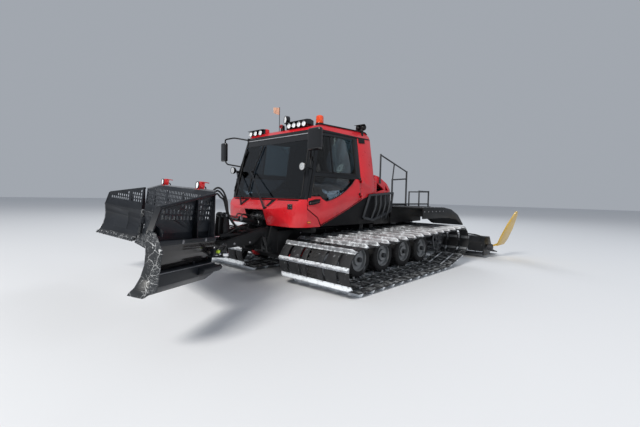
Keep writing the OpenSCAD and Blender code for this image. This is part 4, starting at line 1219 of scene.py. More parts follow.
def draw_console(shape):
    """Console with the blade lever and switches, the column, pedals and the floor mat."""
    shape.use("trim_black").block((-438, 982, 1060), (-322, 1498, 1618), 22, steps=3)
    for k in range(6):
        shape.use("frame_grey").block((-420 + (k % 2) * 45, 1180 + (k // 2) * 60, 1612),
                                      (-390 + (k % 2) * 45, 1215 + (k // 2) * 60, 1626), 4)
    shape.use("trim_black").lathe([(40, 0), (34, 20), (22, 34), (16, 40)], (-380, 1064, 1606),
                                  (0, -0.25, 1), 20)
    shape.tube([(-380, 1060, 1610), (-380, 1040, 1690), (-380, 1020, 1760)], 14, 12, smooth=4)
    shape.lathe([(0, -38), (20, -32), (32, -14), (36, 8), (30, 28), (16, 37), (0, 38)],
                (-380, 1018, 1770), (0, -0.2, 1), 20)
    shape.use("lamp_red").lathe([(9, 0), (9, 5), (0, 6)], (-380, 1006, 1807), (0, -0.2, 1), 14)
    shape.use("trim_black").tube([(-60, 440, 1200), COLUMN_TOP], [42, 30], 16)
    lean = deg(COLUMN_LEAN)
    shape.lathe([(14.5, 0), (14.5, 40)], COLUMN_TOP, (0, math.sin(lean), math.cos(lean)), 20)
    for x in (150, 250):
        shape.block((x, 470, 1080), (x + 70, 500, 1200), 8, turn=spin(25, "X"))
    shape.use("lining_grey").block((-960, 700, 1062), (960, 2090, 1072), 2)


class InsideOperator(bpy.types.Operator):
    """Seats, dash, console and steering wheel"""
    bl_idname = "groomer.inside"
    bl_label = "Cab inside"

    def execute(self, context):
        shape = Shape("trim_black")
        for draw in (draw_seats, draw_dash, draw_console):
            draw(shape)
        shape.done("interior_dressed", "chassis", "seat_black", ["interior"])
        self.wheel()
        return {"FINISHED"}

    def wheel(self):
        place = MACHINE @ shift(*COLUMN_TOP) @ spin(-COLUMN_LEAN, "X")
        shape = Shape("trim_black", place=place)
        circle = [(165 + 15.5 * math.cos(a), 30 + 15.5 * math.sin(a)) for a in around(12)]
        shape.lathe(circle + circle[:1], (0, 0, 0), UP, 48)
        shape.use("gloss_black").lathe([(15.2, 3), (48, 3), (50, 8), (50, 44), (42, 53), (15, 53),
                                        (15.2, 41), (15.2, 3)], (0, 0, 0), UP)
        shape.lathe([(15, 42), (40, 52), (30, 56), (0, 58)], (0, 0, 0), UP)
        for a in (30, 150, 270):
            shape.use("trim_black").inside(place @ spin(a, "Z")).block((42, -14, 23), (162, 14, 37), 5)
            shape.use("frame_grey").block((60, -9, 36), (140, 9, 39), 2)
        # A knob for turning with one hand
        knob = [(0, 34), (12, 36), (14, 60), (22, 66), (24, 84), (14, 94), (0, 95)]
        shape.inside(place).use("trim_black").lathe(knob, (-118, 116, 0), UP, 20)
        shape.done("steering_wheel_dressed", "steering", "trim_black", ["steering_wheel"])


# Lamps, mirrors and wipers

# Heights of the lamps over the windshield
NEAR_LAMP_Z, FAR_LAMP_Z, SPOT_Z = 2810, 2775, 2945


def work_lamp(shape, place, aim, r, lens="lens_white"):
    """Round work lamp: housing, rim, bright bowl and a clear lens."""
    shape.use("trim_black").lathe([(0, -72), (0.35 * r, -70), (0.6 * r, -62), (0.86 * r, -40),
                                   (0.98 * r, -14), (0.98 * r, -2), (0, -2)], place, aim)
    shape.use("gloss_black").lathe([(0.86 * r, -4), (0.99 * r, -4), (1.0 * r, 2), (0.99 * r, 9),
                                    (0.93 * r, 12), (0.86 * r, 9), (0.86 * r, -4)], place, aim, 32)
    shape.use(lens).lathe([(0, -1), (0.86 * r, -1), (0.86 * r, 5), (0.6 * r, 8), (0.3 * r, 9.5), (0, 10)],
                          place, aim)
    shape.use("reflector").lathe([(0.24 * r, 8.5), (0.30 * r, 8.5), (0.30 * r, 11), (0.24 * r, 11),
                                  (0.24 * r, 8.5)], place, aim, 24)


def draw_near_cluster(shape):
    """Four lamps in a black housing with a visor."""
    for x in (260, 390, 520, 650):
        work_lamp(shape, (x, 520, NEAR_LAMP_Z), FRONT, 55)
        shape.use("trim_black").block((x - 20, 562, 2722), (x + 20, 618, NEAR_LAMP_Z - 20), 5)
    z = NEAR_LAMP_Z
    shape.use("gloss_black").block((196, 552, z - 50), (714, 672, z + 58), 18, steps=3)
    shape.plate([(476, z + 58), (520, z + 74), (610, z + 84), (690, z + 62), (694, z - 60), (676, z - 60),
                 (670, z + 50), (606, z + 70), (522, z + 60), (478, z + 46)], 186, 538, edge=3)
    for x in (186, 712):
        shape.plate([(484, z + 54), (610, z + 80), (684, z + 60), (690, z - 56), (600, z - 56),
                     (530, z - 10)], x, 12, edge=2)


def draw_far_cluster(shape):
    """Three lamps in front of a black and red box."""
    for x in (-600, -760, -920):
        work_lamp(shape, (x, 520, FAR_LAMP_Z), FRONT, 55)
        shape.use("trim_black").block((x - 20, 562, 2645), (x + 20, 618, FAR_LAMP_Z - 15), 5)
    z = FAR_LAMP_Z
    shape.use("gloss_black").block((-982, 556, z - 46), (-538, 636, z + 62), 16, steps=3)
    shape.plate([(486, z + 60), (560, z + 74), (640, z + 66), (640, z + 52), (560, z + 60),
                 (486, z + 48)], -984, 448, edge=3)
    shape.use("red_enamel").block((-700, 600, 2735), (-530, 700, z + 82), 16)


def draw_spotlight(shape):
    """Spotlight on its post, and a small round horn."""
    shape.use("trim_black").block((92, 602, 2722), (128, 638, SPOT_Z - 50), 6)
    spot = ((110, 560, SPOT_Z), (-0.35, -0.93, 0))
    work_lamp(shape, *spot, 75)
    shape.use("gloss_black").lathe([(74, -66), (77, -60), (77, 4), (70, 4), (70, -10), (40, -66)], *spot)
    horn = ((-10, 556, 2836), FRONT, 24)
    shape.use("trim_black").lathe([(40, 0), (40, 100), (36, 128), (20, 140), (0, 140)], (-10, 600, 2722),
                                  UP, 24)
    shape.lathe([(34, 0), (36, -8), (36, -34), (20, -44), (0, -44)], *horn)
    shape.use("lamp_red").lathe([(24, -2), (36, -2), (37, 3), (34, 6), (25, 6), (24, -2)], *horn)


def draw_beacon(shape):
    """Black foot with a ribbed orange dome."""
    foot = (600, 980, 2740)
    shape.use("trim_black").lathe([(60, 10), (60, 84), (72, 92), (76, 104), (70, 112), (40, 112)], foot,
                                  UP, 32)
    shape.use("gloss_black").lathe([(46, 108), (46, 182), (38, 190), (0, 190)], foot, UP, 24)
    shape.use("trim_black").lathe([(50, 110), (73, 112), (73, 150), (50, 152)], foot, UP, 32)
    dome = [(70, 150), (74, 154)]
    for k in range(10):
        h = 158 + k * 12
        dome += [(75 - k * 0.35, h), (72.5 - k * 0.35, h + 6)]
    dome += [(69, 276), (58, 290), (38, 298), (0, 300)]
    shape.use("beacon_orange").lathe(dome, foot, UP, 36)


def draw_rear_lamps(shape):
    """Two lamps in each rear corner of the roof, under small visors."""
    for x in (-860, -740, 740, 860):
        work_lamp(shape, (x, 2010, 2940), REAR, 60, "lens_clear")
        shape.use("trim_black").block((x - 20, 1922, 2725), (x + 20, 1978, 2908), 5)
        shape.plate([(2000, 2984), (1958, 3002), (1916, 2990), (1916, 2982), (1958, 2994), (2000, 2976)],
                    x - 56, 112, edge=2)
    for s in (-1, 1):
        shape.block((s * 800 - 105, 1915, 2840), (s * 800 + 105, 1945, 2872), 8)


def draw_pillar_lamps(shape):
    """A lamp on each windshield pillar."""
    for s in (-1, 1):
        work_lamp(shape, (s * 1010, 150, 2010), FRONT, 70, "lens_clear")
        shape.use("trim_black").tube([(s * 1030, 205, 2008), (s * 1032, 270, 2004),
                                      (s * 1021, 384, 1990)], 13, 12)
        shape.block((s * 1030 - 22, 196, 1985), (s * 1030 + 22, 224, 2035), 6)


class FittingOperator(bpy.types.Operator):
    """Lamps, beacon, mirrors, wipers and the flag"""
    bl_idname = "groomer.fittings"
    bl_label = "Lamps and fittings"

    def execute(self, context):
        self.lamps()
        self.mirrors()
        self.wipers()
        self.flag()
        return {"FINISHED"}

    def lamps(self):
        shape = Shape("trim_black")
        for draw in (draw_near_cluster, draw_far_cluster, draw_spotlight, draw_beacon, draw_rear_lamps,
                     draw_pillar_lamps):
            draw(shape)
        shape.hose([(230, 640, 2740), (190, 660, 2770), (120, 660, 2750), (60, 650, 2730)], 7, 8)
        shape.done("lamps_dressed", "chassis", "lamp_clear", ["lamps"])

    def mirrors(self):
        shape = Shape("gloss_black")
        # Near head with a rounded back, its glass behind and a thick bar down the pillar
        for low, high in (((1064, 188, 2262), (1352, 278, 2630)),
                          ((-1548, 192, 2212), (-1366, 268, 2608))):
            shape.use("gloss_black").block(low, high, 44, steps=6)
            shape.use("seal_rubber").block((low[0] + 18, high[1] - 8, low[2] + 20),
                                           (high[0] - 18, high[1] + 2, high[2] - 20), 5)
            split = low[2] + (high[2] - low[2]) * 0.3
            shape.use("mirror_glass").block((low[0] + 28, high[1], split + 8),
                                            (high[0] - 28, high[1] + 4, high[2] - 30), 2)
            shape.block((low[0] + 28, high[1], low[2] + 30), (high[0] - 28, high[1] + 4, split - 6), 2)
        shape.use("trim_black")
        shape.tube(rounded([(1104, 250, 2310), (1096, 268, 2262), (1040, 310, 2235), (985, 378, 2170),
                            (1000, 345, 1990), (1020, 318, 1790)], 60), 17, 12)
        shape.tube(rounded([(1100, 262, 2560), (1040, 330, 2575), (925, 452, 2560)], 40), 16, 12)
        shape.block((985, 395, 2120), (1010, 440, 2200), 8)
        shape.tube(rounded([(-900, 475, 2640), (-1200, 300, 2700), (-1440, 240, 2680),
                            (-1440, 240, 2590)], 60), 15, 12)
        shape.tube(rounded([(-1440, 240, 2240), (-1400, 260, 2160), (-970, 375, 2090)], 60), 15, 12)
        shape.block((-930, 440, 2600), (-900, 480, 2680), 8)
        shape.done("mirrors_dressed", "chassis", "trim_black", ["cab_fittings"])

    def wipers(self):
        shape = Shape("trim_black")
        # Wipers as (x, z): root, then the blade's foot, where the arm holds it, and its top
        for (x, z), *blade in (((330, 1300), (-520, 1560), (-500, 1975), (-335, 2480)),
                               ((-460, 1350), (-1010, 1585), (-983, 1975), (-865, 2420))):
            root = Vector((x, nose_y(z), z))
            foot, hold, top = (Vector((x, pane_y(z), z)) for x, z in blade)
            shape.use("trim_black").block(root + Vector((-27, -6, -38)), root + Vector((27, 40, 18)), 10)
            for d in (Vector((-14, -26, 0)), Vector((16, -26, 8))):
                shape.lathe([(16, 14), (16, -4), (10, -8), (0, -8)], root + d + Vector((0, 6, 0)), REAR,
                            16)
            shape.use("gloss_black").tube([root + Vector((-14, -28, 0)),
                                           root.lerp(hold, 0.3) + Vector((-14, -40, 0)),
                                           hold + Vector((-14, -62, 0))], [10, 9, 6], 8)
            shape.tube([root + Vector((16, -28, 8)), hold + Vector((16, -64, -14))], [8, 6], 8)
            shape.use("trim_black").block(hold + Vector((-26, -70, -20)), hold + Vector((28, -50, 12)), 5)
            shape.tube([hold + Vector((4, -60, -4)), hold + Vector((4, -22, 4))], 10, 8)
            run = [p - Vector((0, 24, 0)) for p in (foot, hold, top)]
            way = (run[2] - run[0]).normalized()
            shape.use("gloss_black").tube(run, 8, 8)
            # The rubber, with claws that hold it
            shape.use("seal_rubber").tube([p + Vector((0, 16, 0)) for p in run], 7, 6)
            for t in (0.12, 0.32, 0.5, 0.68, 0.88):
                spot = run[1].lerp(run[2], t * 2 - 1) if t > 0.5 else run[0].lerp(run[1], t * 2)
                shape.use("trim_black").tube([spot - way * 20, spot + way * 20], 13, 8)
        shape.done("wipers_dressed", "chassis", "trim_black", ["cab_fittings"])

    def flag(self):
        shape = Shape("trim_black")
        shape.lathe([(16, 0), (16, 18), (9, 26), (9, 40), (0, 40)], (-160, 640, 2735), UP, 16)
        shape.tube([(-160, 640, 2760), (-160, 640, 3238)], 6, 10)
        shape.done("flag_pole", "chassis", "trim_black", ["cab_fittings"])
        cloth = Shape("flag_cloth")
        part = bmesh.new()
        steps, rise = 24, 16
        sides = []
        for face in (-1.2, 1.2):
            grid = []
            for i in range(steps + 1):
                t = i / steps
                row = []
                for j in range(rise + 1):
                    h = 3084 + 142 * j / rise * (1 - 0.25 * t) + 16 * t
                    sway = 3 * math.sin(t * 9 + j * 0.12) * t + 2 * math.sin(t * 4 + 1)
                    row.append(part.verts.new((-160 + sway + face, 632 - 140 * t, h)))
                grid.append(row)
            sides.append(grid)
        for grid in sides:
            for a, b in zip(grid, grid[1:]):
                for j in range(rise):
                    part.faces.new((a[j], a[j + 1], b[j + 1], b[j]))
        border = [(i, 0) for i in range(steps)] + [(steps, j) for j in range(rise)]
        border += [(i, rise) for i in range(steps, 0, -1)] + [(0, j) for j in range(rise, 0, -1)]
        for (a, b), (c, d) in zip(border, border[1:] + border[:1]):
            part.faces.new((sides[0][a][b], sides[0][c][d], sides[1][c][d], sides[1][a][b]))
        cloth.keep(part)
        piece = cloth.done("flag_pennant", "chassis", "trim_black", ["cab_fittings"], sharp=70)


# Rear body


class RearBodyOperator(bpy.types.Operator):
    """Engine covers, guards and deck"""
    bl_idname = "groomer.rear_body"
    bl_label = "Rear body"

    def execute(self, context):
        soften("engine_covers", "red_enamel", cuts=(((0, 0, 1610), UP), ((0, 2280, 0), REAR)),
               rule=self.cover_finish)
        soften("hood", "red_enamel", 0.010)
        soften("tube_guards", "grey_powder", 0.004, angle=50, sharp=60)
        soften("deck", "black_enamel", 0.004, rule=self.deck_finish)
        shape = Shape("trim_black")
        # Slats in the engine cover's rear, bolts of covers and fenders, latches and lids
        for z in (1380, 1450, 1520, 1590):
            shape.use("trim_black").block((-800, 2828, z - 4), (800, 2842, z + 14), 3, turn=spin(28, "X"))
        shape.use("screen_dark").block((-420, 2838, 962), (420, 2844, 1298), 1)
        shape.use("frame_grey")
        for k in range(13):
            x = -390 + k * 65
            shape.block((x - 5, 2840, 965), (x + 5, 2852, 1295), 2)
        for s in (-1, 1):
            for y, z in ((2260, 1700), (2260, 1860), (2640, 1640), (2800, 1650)):
                shape.use("bolt_zinc").bolt((s * 1000, y, z), (s, 0, 0), 8, 6)
            shape.use("seal_rubber").block((s * 640 - 60, 2868, 1620), (s * 640 + 60, 2886, 1660), 6)
            shape.use("bolt_zinc")
            for y in range(2960, 3900, 180):
                shape.bolt((s * 1782, y, 1250), (s, 0, 0), 9, 7)
                for x in (1740, 1030):
                    shape.bolt((s * x, y, 1336), UP, 9, 7)
            # Lids and latches of the side boxes
            for y in (2960, 3700):
                shape.use("black_enamel").block((s * 725 - 235, y, DECK_Z + 1),
                                                (s * 725 + 235, y + 600, DECK_Z + 9), 3)
            for y in (3120, 3400, 3860, 4140):
                shape.use("bolt_zinc").block((s * 500 - 12, y - 22, 1333), (s * 500 + 12, y + 22, 1341),
                                             3)
        # Hose reel, filter bowl and hoses on the deck
        shape.use("cast_iron").lathe([(70, 0), (84, 6), (84, 180), (76, 196), (50, 204), (50, 226),
                                      (0, 228)], (-150, 3250, DECK_Z), UP)
        shape.use("worn_steel").block((20, 3150, DECK_Z), (260, 3330, 1440), 14)
        for x0, x1 in ((-150, -330), (60, 330), (200, 120)):
            shape.hose([(x0, 3260, 1400), (x0 + 30, 3400, 1470), (x1, 3560, 1430), (x1, 3800, 1352),
                        (x1, 4600, 1348), (x1, 4780, 1330)], 15)
        shape.done("rear_body_trim", "chassis", "trim_black")
        handle = Shape("gloss_black")
        for s in (-1, 1):
            handle.tube(rounded([(s * 640, 2810, 1764), (s * 640, 2836, 1790), (s * 500, 2836, 1790),
                                 (s * 500, 2810, 1764)], 16), 9, 10)
        handle.done("hood_handles", "hood", "trim_black")
        return {"FINISHED"}

    @staticmethod
    def cover_finish(p, n):
        if p.z < 1610 and (abs(p.x) > 900 or p.y < 2280):
            return "black_enamel"
        if abs(p.x) < 985 and 2240 <= p.y < 2835 and abs(n.z) < 0.7:
            return "trim_black"
        return "red_enamel"

    @staticmethod
    def deck_finish(p, n):
        return "deck_grip" if n.z > 0.6 and p.z > 1280 else None


# Linkages


PIN_CAP = [(46, 0), (46, 8), (38, 12), (0, 12)]


def collar_set(shape, root, eye, marks):
    """Collars on a cylinder as (way from the root, length, radius)."""
    root, eye = Vector(root), Vector(eye)
    way = (eye - root).normalized()
    for start, length, r in marks:
        shape.lathe([(r * 0.9, 0), (r, 3), (r, length - 3), (r * 0.9, length)], root + way * start, way)


class LinkageOperator(bpy.types.Operator):
    """Front and rear linkages with their cylinders"""
    bl_idname = "groomer.linkages"
    bl_label = "Linkages"

    def execute(self, context):
        for name in ("lift_frame", "slew_head", "tilt_plate", "rear_frame"):
            soften(name, "black_enamel", 0.004)
        for name in ("lift_barrels", "slew_barrels", "wing_barrels", "rear_barrels"):
            soften(name, "black_enamel", 0.003)
        for name in ("lift_rods", "slew_rod_left", "slew_rod_right", "wing_rod_left", "wing_rod_right",
                     "rear_rods"):
            soften(name, "chrome_rod", 0.0025, rule=self.eye_finish)
        self.collars()
        self.bolts_and_hoses()
        return {"FINISHED"}

    @staticmethod
    def eye_finish(p, n):
        """Eyes at the rods' ends are painted: lift and rear cylinders, then the turning and wing ones."""
        if min(math.hypot(p.y - y, p.z - z) for y, z in (LIFT_EYE, REAR_EYE)) < 60:
            return "black_enamel"
        q = mm_of(BLADE.inverted() @ at(*p))
        for x, y in ((-1359, 190), (1467, 157)):
            if math.hypot(q.x - x, q.y - y) < 48:
                return "black_enamel"
        return "black_enamel" if abs(p.x) < 300 and p.y < -1190 else None

    def collars(self):
        shape = Shape("worn_steel")
        for x in (-75, 75):
            shape.use("worn_steel")
            collar_set(shape, (x, *LIFT_ROOT), (x, *LIFT_EYE), ((60, 26, 46), (430, 46, 46.5)))
            shape.hose([(x, -30, 1072), (x, 0, 1094), (x, 40, 1090), (x * 1.25, 66, 1058),
                        (x * 1.4, 60, 1022)])
            shape.hose([(x, -370, 1152), (x, -340, 1190), (x, -180, 1160), (x * 1.3, -20, 1112),
                        (x * 1.7, 50, 1070), (x * 1.7, 60, 1022)])
        shape.done("lift_cylinder_trim", "lift_barrels", "black_paint")
        shape = Shape("worn_steel")
        for x in (-327, 327):
            collar_set(shape, (x, *REAR_ROOT), (x, *REAR_EYE), ((56, 24, 42), (356, 42, 42)))
        shape.done("rear_cylinder_trim", "rear_barrels", "black_paint")
        shape = Shape("worn_steel", place=BLADE)
        for s in (-1, 1):
            collar_set(shape, (s * 600, 166, 300), (s * 1400, 166, 300), ((50, 22, 38), (440, 38, 38)))
        for s in (-1, 1):
            shape.hose([(s * 670, 196, 322), (s * 600, 232, 380), (s * 420, 214, 430),
                        (s * 200, 150, 520), (s * 60, 140, 560)])
            shape.hose([(s * 1040, 196, 322), (s * 960, 226, 372), (s * 700, 226, 420),
                        (s * 300, 170, 500), (s * 90, 140, 560)])
        shape.done("wing_cylinder_trim", "blade_centre", "black_paint")

    def bolts_and_hoses(self):
        shape = Shape("bolt_zinc")
        for s in (-1, 1):
            # Caps and grease points of the main pins
            shape.use("worn_steel").lathe(PIN_CAP, (s * 365, *LIFT_PIN), (s, 0, 0), 24)
            for k in range(4):
                a = math.pi / 4 + math.pi / 2 * k
                shape.use("bolt_zinc").bolt((s * 376, 30 * math.cos(a), 600 + 30 * math.sin(a)),
                                            (s, 0, 0), 5, 5)
            for y in (-900, -700, -400):
                shape.bolt((s * 365, y, 735), (s, 0, 0), 12, 9)
            shape.use("worn_steel").lathe([(24, 0), (24, 8), (18, 12), (0, 12)], (s * 140, *LIFT_EYE),
                                          (s, 0, 0), 20)
        for x, lift in ((-230, 0), (-180, 25), (180, 10), (235, 30)):
            shape.hose([(x, -60, 930 + lift), (x, -260, 900 + lift), (x * 0.9, -480, 960 + lift),
                        (x * 0.8, -700, 860 + lift), (x * 0.7, -900, 840)])
        for k in range(3):
            x, d = 168 - 16 * k, 48 * k
            shape.hose([(x + 20, -470, 930), (x + 4, -580, 1040), (x, -690, 1210),
                        (x, -724 - d * 0.3, 1420), (x, -790 - d * 0.3, 1570 - d), (x - 4, -880, 1626 - d),
                        (x - 8, -970 + d * 0.3, 1570 - d), (x - 20, -1050 + d * 0.2, 1420 - d),
                        (x * 0.6, -1085, 1180), (x * 0.35, -1090 + k * 45, 1000)], 15)
            shape.use("worn_steel").lathe([(19, 0), (19, 34), (15, 38)], (x * 0.35, -1090 + k * 45, 986),
                                          UP, 6)
        shape.done("lift_frame_trim", "lift_frame", "black_paint")
        shape = Shape("worn_steel")
        for s in (-1, 1):
            shape.use("worn_steel").lathe(PIN_CAP, (s * 365, *REAR_PIN), (s, 0, 0), 24)
            shape.hose([(s * 120, 5440, 640), (s * 130, 5250, 800), (s * 150, 5000, 830),
                        (s * 150, 4870, 800)], 14)
        shape.done("rear_frame_trim", "rear_frame", "black_paint")


# Blade and tiller


WING_TIP_X = 1128


def toothed_edge(shape, base, x0, x1):
    """Steel cutting edge on a board's foot with flat teeth, in the board's own millimetres."""
    shape.inside(base @ shift(0, -70, 0) @ spin(-31, "X"))
    outline = [(x1, 62), (x0, 62)]
    for x in range(x0, x1 - 58, 60):
        outline += [(x, -2), (x + 10, -20), (x + 38, -20), (x + 48, -2)]
    outline.append((x1, -2))
    shape.use("blade_scuffed").plate(outline, -13, 13, axis="Y", edge=1.5, steps=1)
    shape.use("bolt_zinc")
    for x in range(x0 + 60, x1 - 30, 150):
        shape.lathe([(14, 0), (13, 4), (8, 6), (0, 6)], (x, -12, 38), FRONT, 12)
    shape.inside(base)


class BladeOperator(bpy.types.Operator):
    """Blade with its wings, cutting edges, lamps and hoses"""
    bl_idname = "groomer.blade"
    bl_label = "Blade"

    def execute(self, context):
        for name, base in (("blade_centre", BLADE), ("wing_left", WING_LEFT), ("wing_right", WING_RIGHT)):
            back = base.inverted()

            def finish(p, n, back=back, centre=name == "blade_centre"):
                q = back @ at(*p)
                if centre and q.z > 1034 and min(abs(q.x - x) for x in BLADE_LAMP_X) < 70:
                    return "lamp_red"
                if centre:
                    scuffed = q.z < 150 and q.y < 40
                else:
                    scuffed = q.x > WING_TIP_X or q.z < 90 or (q.x < 40 and q.z < BOARD_TOP)
                return "blade_scuffed" if scuffed else None

            ends = (((0, 0, 150), UP), ((WING_TIP_X, 0, 0), LEFT))
            cuts = [(mm_of(base @ Vector(spot)), base.to_3x3() @ Vector(way)) for spot, way in ends]
            soften(name, "blade_black", 0.0025, angle=50, cuts=cuts, rule=finish)
        self.centre()
        self.wing("left", WING_LEFT)
        self.wing("right", WING_RIGHT)
        return {"FINISHED"}

    def centre(self):
        shape = Shape("blade_black", place=BLADE)
        toothed_edge(shape, BLADE, -1300, 1300)
        # Rounded lip on the board and a bright bar on the screen
        shape.use("blade_scuffed").tube([(-1304, -2, BOARD_TOP), (1304, -2, BOARD_TOP)], 9, 10)
        # The middle screen's top drops towards the right wing
        shape.use("worn_steel").tube([(-1304, 10, 952), (-600, 10, 1042), (1304, 10, 1042)], 11, 10)
        # Lamps under red hoods
        for x in BLADE_LAMP_X:
            lamp = ((x, -10, 1092), FRONT)
            shape.use("lens_white").lathe([(0, 0), (43, 0), (43, 5), (30, 9), (0, 11)], *lamp)
            shape.use("trim_black").lathe([(43, -4), (51, -4), (51, 8), (47, 11), (43, 8), (43, -4)],
                                          *lamp)
            shape.hose([(x, 70, 1092), (x, 110, 1070), (x, 90, 980), (x * 0.9, 70, 900),
                        (x * 0.6, 80, 700)], 8, 8)
        # Bolts on the posts and the beams
        shape.use("bolt_zinc")
        for x in (-905, -332, 312, 885):
            for z in (600, 780, 960):
                shape.bolt((x + 32, 4, z), FRONT, 9, 6)
                shape.bolt((x + 32, 18, z), REAR, 9, 6)
        for x in range(-1100, 1101, 200):
            for z in (450, 120):
                shape.bolt((x, 90, z), REAR, 13, 9)
        # Ribs between the beams and hoses that arch over the middle
        for x in (-1150, -620, -120, 120, 620, 1150):
            shape.use("blade_black").plate([(40, 180), (88, 180), (60, 290), (88, 400), (40, 400),
                                            (52, 290)], x - 6, 12, edge=2)
        hoses = (-90, -50, 40, 80, 130)
        for k, x in enumerate(hoses):
            top = 680 + 20 * k
            shape.hose([(x, 95, 470), (x - 10, 170, 560), (x - 20, 250 + 12 * k, top),
                        (x - 30, 380, top - 60), (x - 30, 470, top - 190), (x - 20, 520, top - 330)], 12)
        shape.use("worn_steel")
        for x in hoses:
            shape.lathe([(17, 0), (17, 34), (14, 36), (14, 50)], (x, 92, 440), (0, 0.35, 1), 6)
        shape.use("blade_black").block((-140, 86, 405), (180, 128, 462), 6)
        shape.done("blade_trim", "blade_centre", "blade_steel")

    def wing(self, label, base):
        shape = Shape("blade_black", place=base)
        toothed_edge(shape, base, 62, WING_TIP_X)
        # Flared shoe at the tip, worn front edges of the cheek
        shape.use("blade_scuffed").plate([(-92, -14), (70, -14), (120, 30), (96, 60), (-30, 66),
                                          (-72, 20)], 1126, 34, edge=5)
        shape.plate([(-76, -4), (64, -4), (202, 76), (204, 430), (150, 520), (104, 584), (60, 584),
                     (120, 410), (120, 100), (50, 18), (-60, 18)], 1146, 10, edge=2)
        shape.use("worn_steel").tube([(1140, -2, 560), (1140, 20, 480), (1140, 34, 380), (1140, 38, 280),
                                      (1140, 16, 170), (1140, -30, 70), (1140, -70, 4)], 7, 8)
        # Back: upper beam with two bolts, shiny bulged panel, slanted lower plate with its lip
        panel = [(58, 212), (84, 240), (104, 275), (116, 310), (124, 350), (130, 400), (131, 470),
                 (122, 470), (122, 404), (50, 396), (50, 212)]
        shape.use("shiny_plate").plate(panel, 104, 1026, edge=1)
        shape.use("blade_black").plate([(146, 214), (160, 206), (158, 92), (64, -2), (48, -2), (136, 96),
                                        (140, 208)], 84, 1046, edge=3)
        shape.use("worn_steel").tube([(96, 156, 213), (1128, 156, 213)], 5, 8)
        shape.use("blade_black").block((92, 112, 466), (1132, 140, 510), 4)
        shape.use("bolt_zinc")
        for x in (330, 760):
            shape.bolt((x, 140, 488), REAR, 14, 10)
        # Shelf near the hinge with a coupling at its end
        shape.use("blade_black").plate([(150, 196), (236, 186), (240, 172), (226, 128), (150, 108)], 70,
                                       370, edge=4)
        shape.use("cast_iron").lathe([(22, 0), (22, 26), (30, 30), (30, 44), (18, 50), (0, 50)],
                                     (70, 200, 160), (-1, 0, 0), 18)
        # Upper cheek under the sloping tube
        shape.use("blade_black").plate([(14, 556), (104, 540), (104, 600), (20, 640)], 1040, 14, edge=2)
        # Caps of the hinge pin, a valve with a bright cap
        shape.use("worn_steel").lathe([(26, 0), (26, 8), (18, 14), (0, 14)], (0, 0, 560), UP, 20)
        shape.use("blade_black").block((110, 136, 300), (190, 186, 380), 8)
        shape.use("coupling_green").lathe([(20, 0), (20, 34), (14, 40), (0, 40)], (128, 184, 350),
                                          (0.2, 1, 0), 18)
        shape.hose([(160, 186, 372), (150, 240, 420), (100, 270, 440), (40, 240, 400), (30, 190, 340)])
        shape.done("wing_%s_trim" % label, "wing_" + label, "blade_steel")


def draw_tine(shape):
    """Tiller tooth: a bent flat bar with a pointed end, bolted to a lug on the drum."""
    shape.plate([(-20, 84), (22, 84), (26, 130), (14, 168), (0, 189), (-8, 160), (-14, 130)], -9, 18,
                edge=2, steps=1)
    shape.block((-12, -24, 82), (12, 24, 112), 3, steps=1)


def draw_comb_tooth(shape):
    shape.plate([(-150, 6), (150, -12), (150, -20), (-150, -6)], -15, 30, edge=2, steps=1)


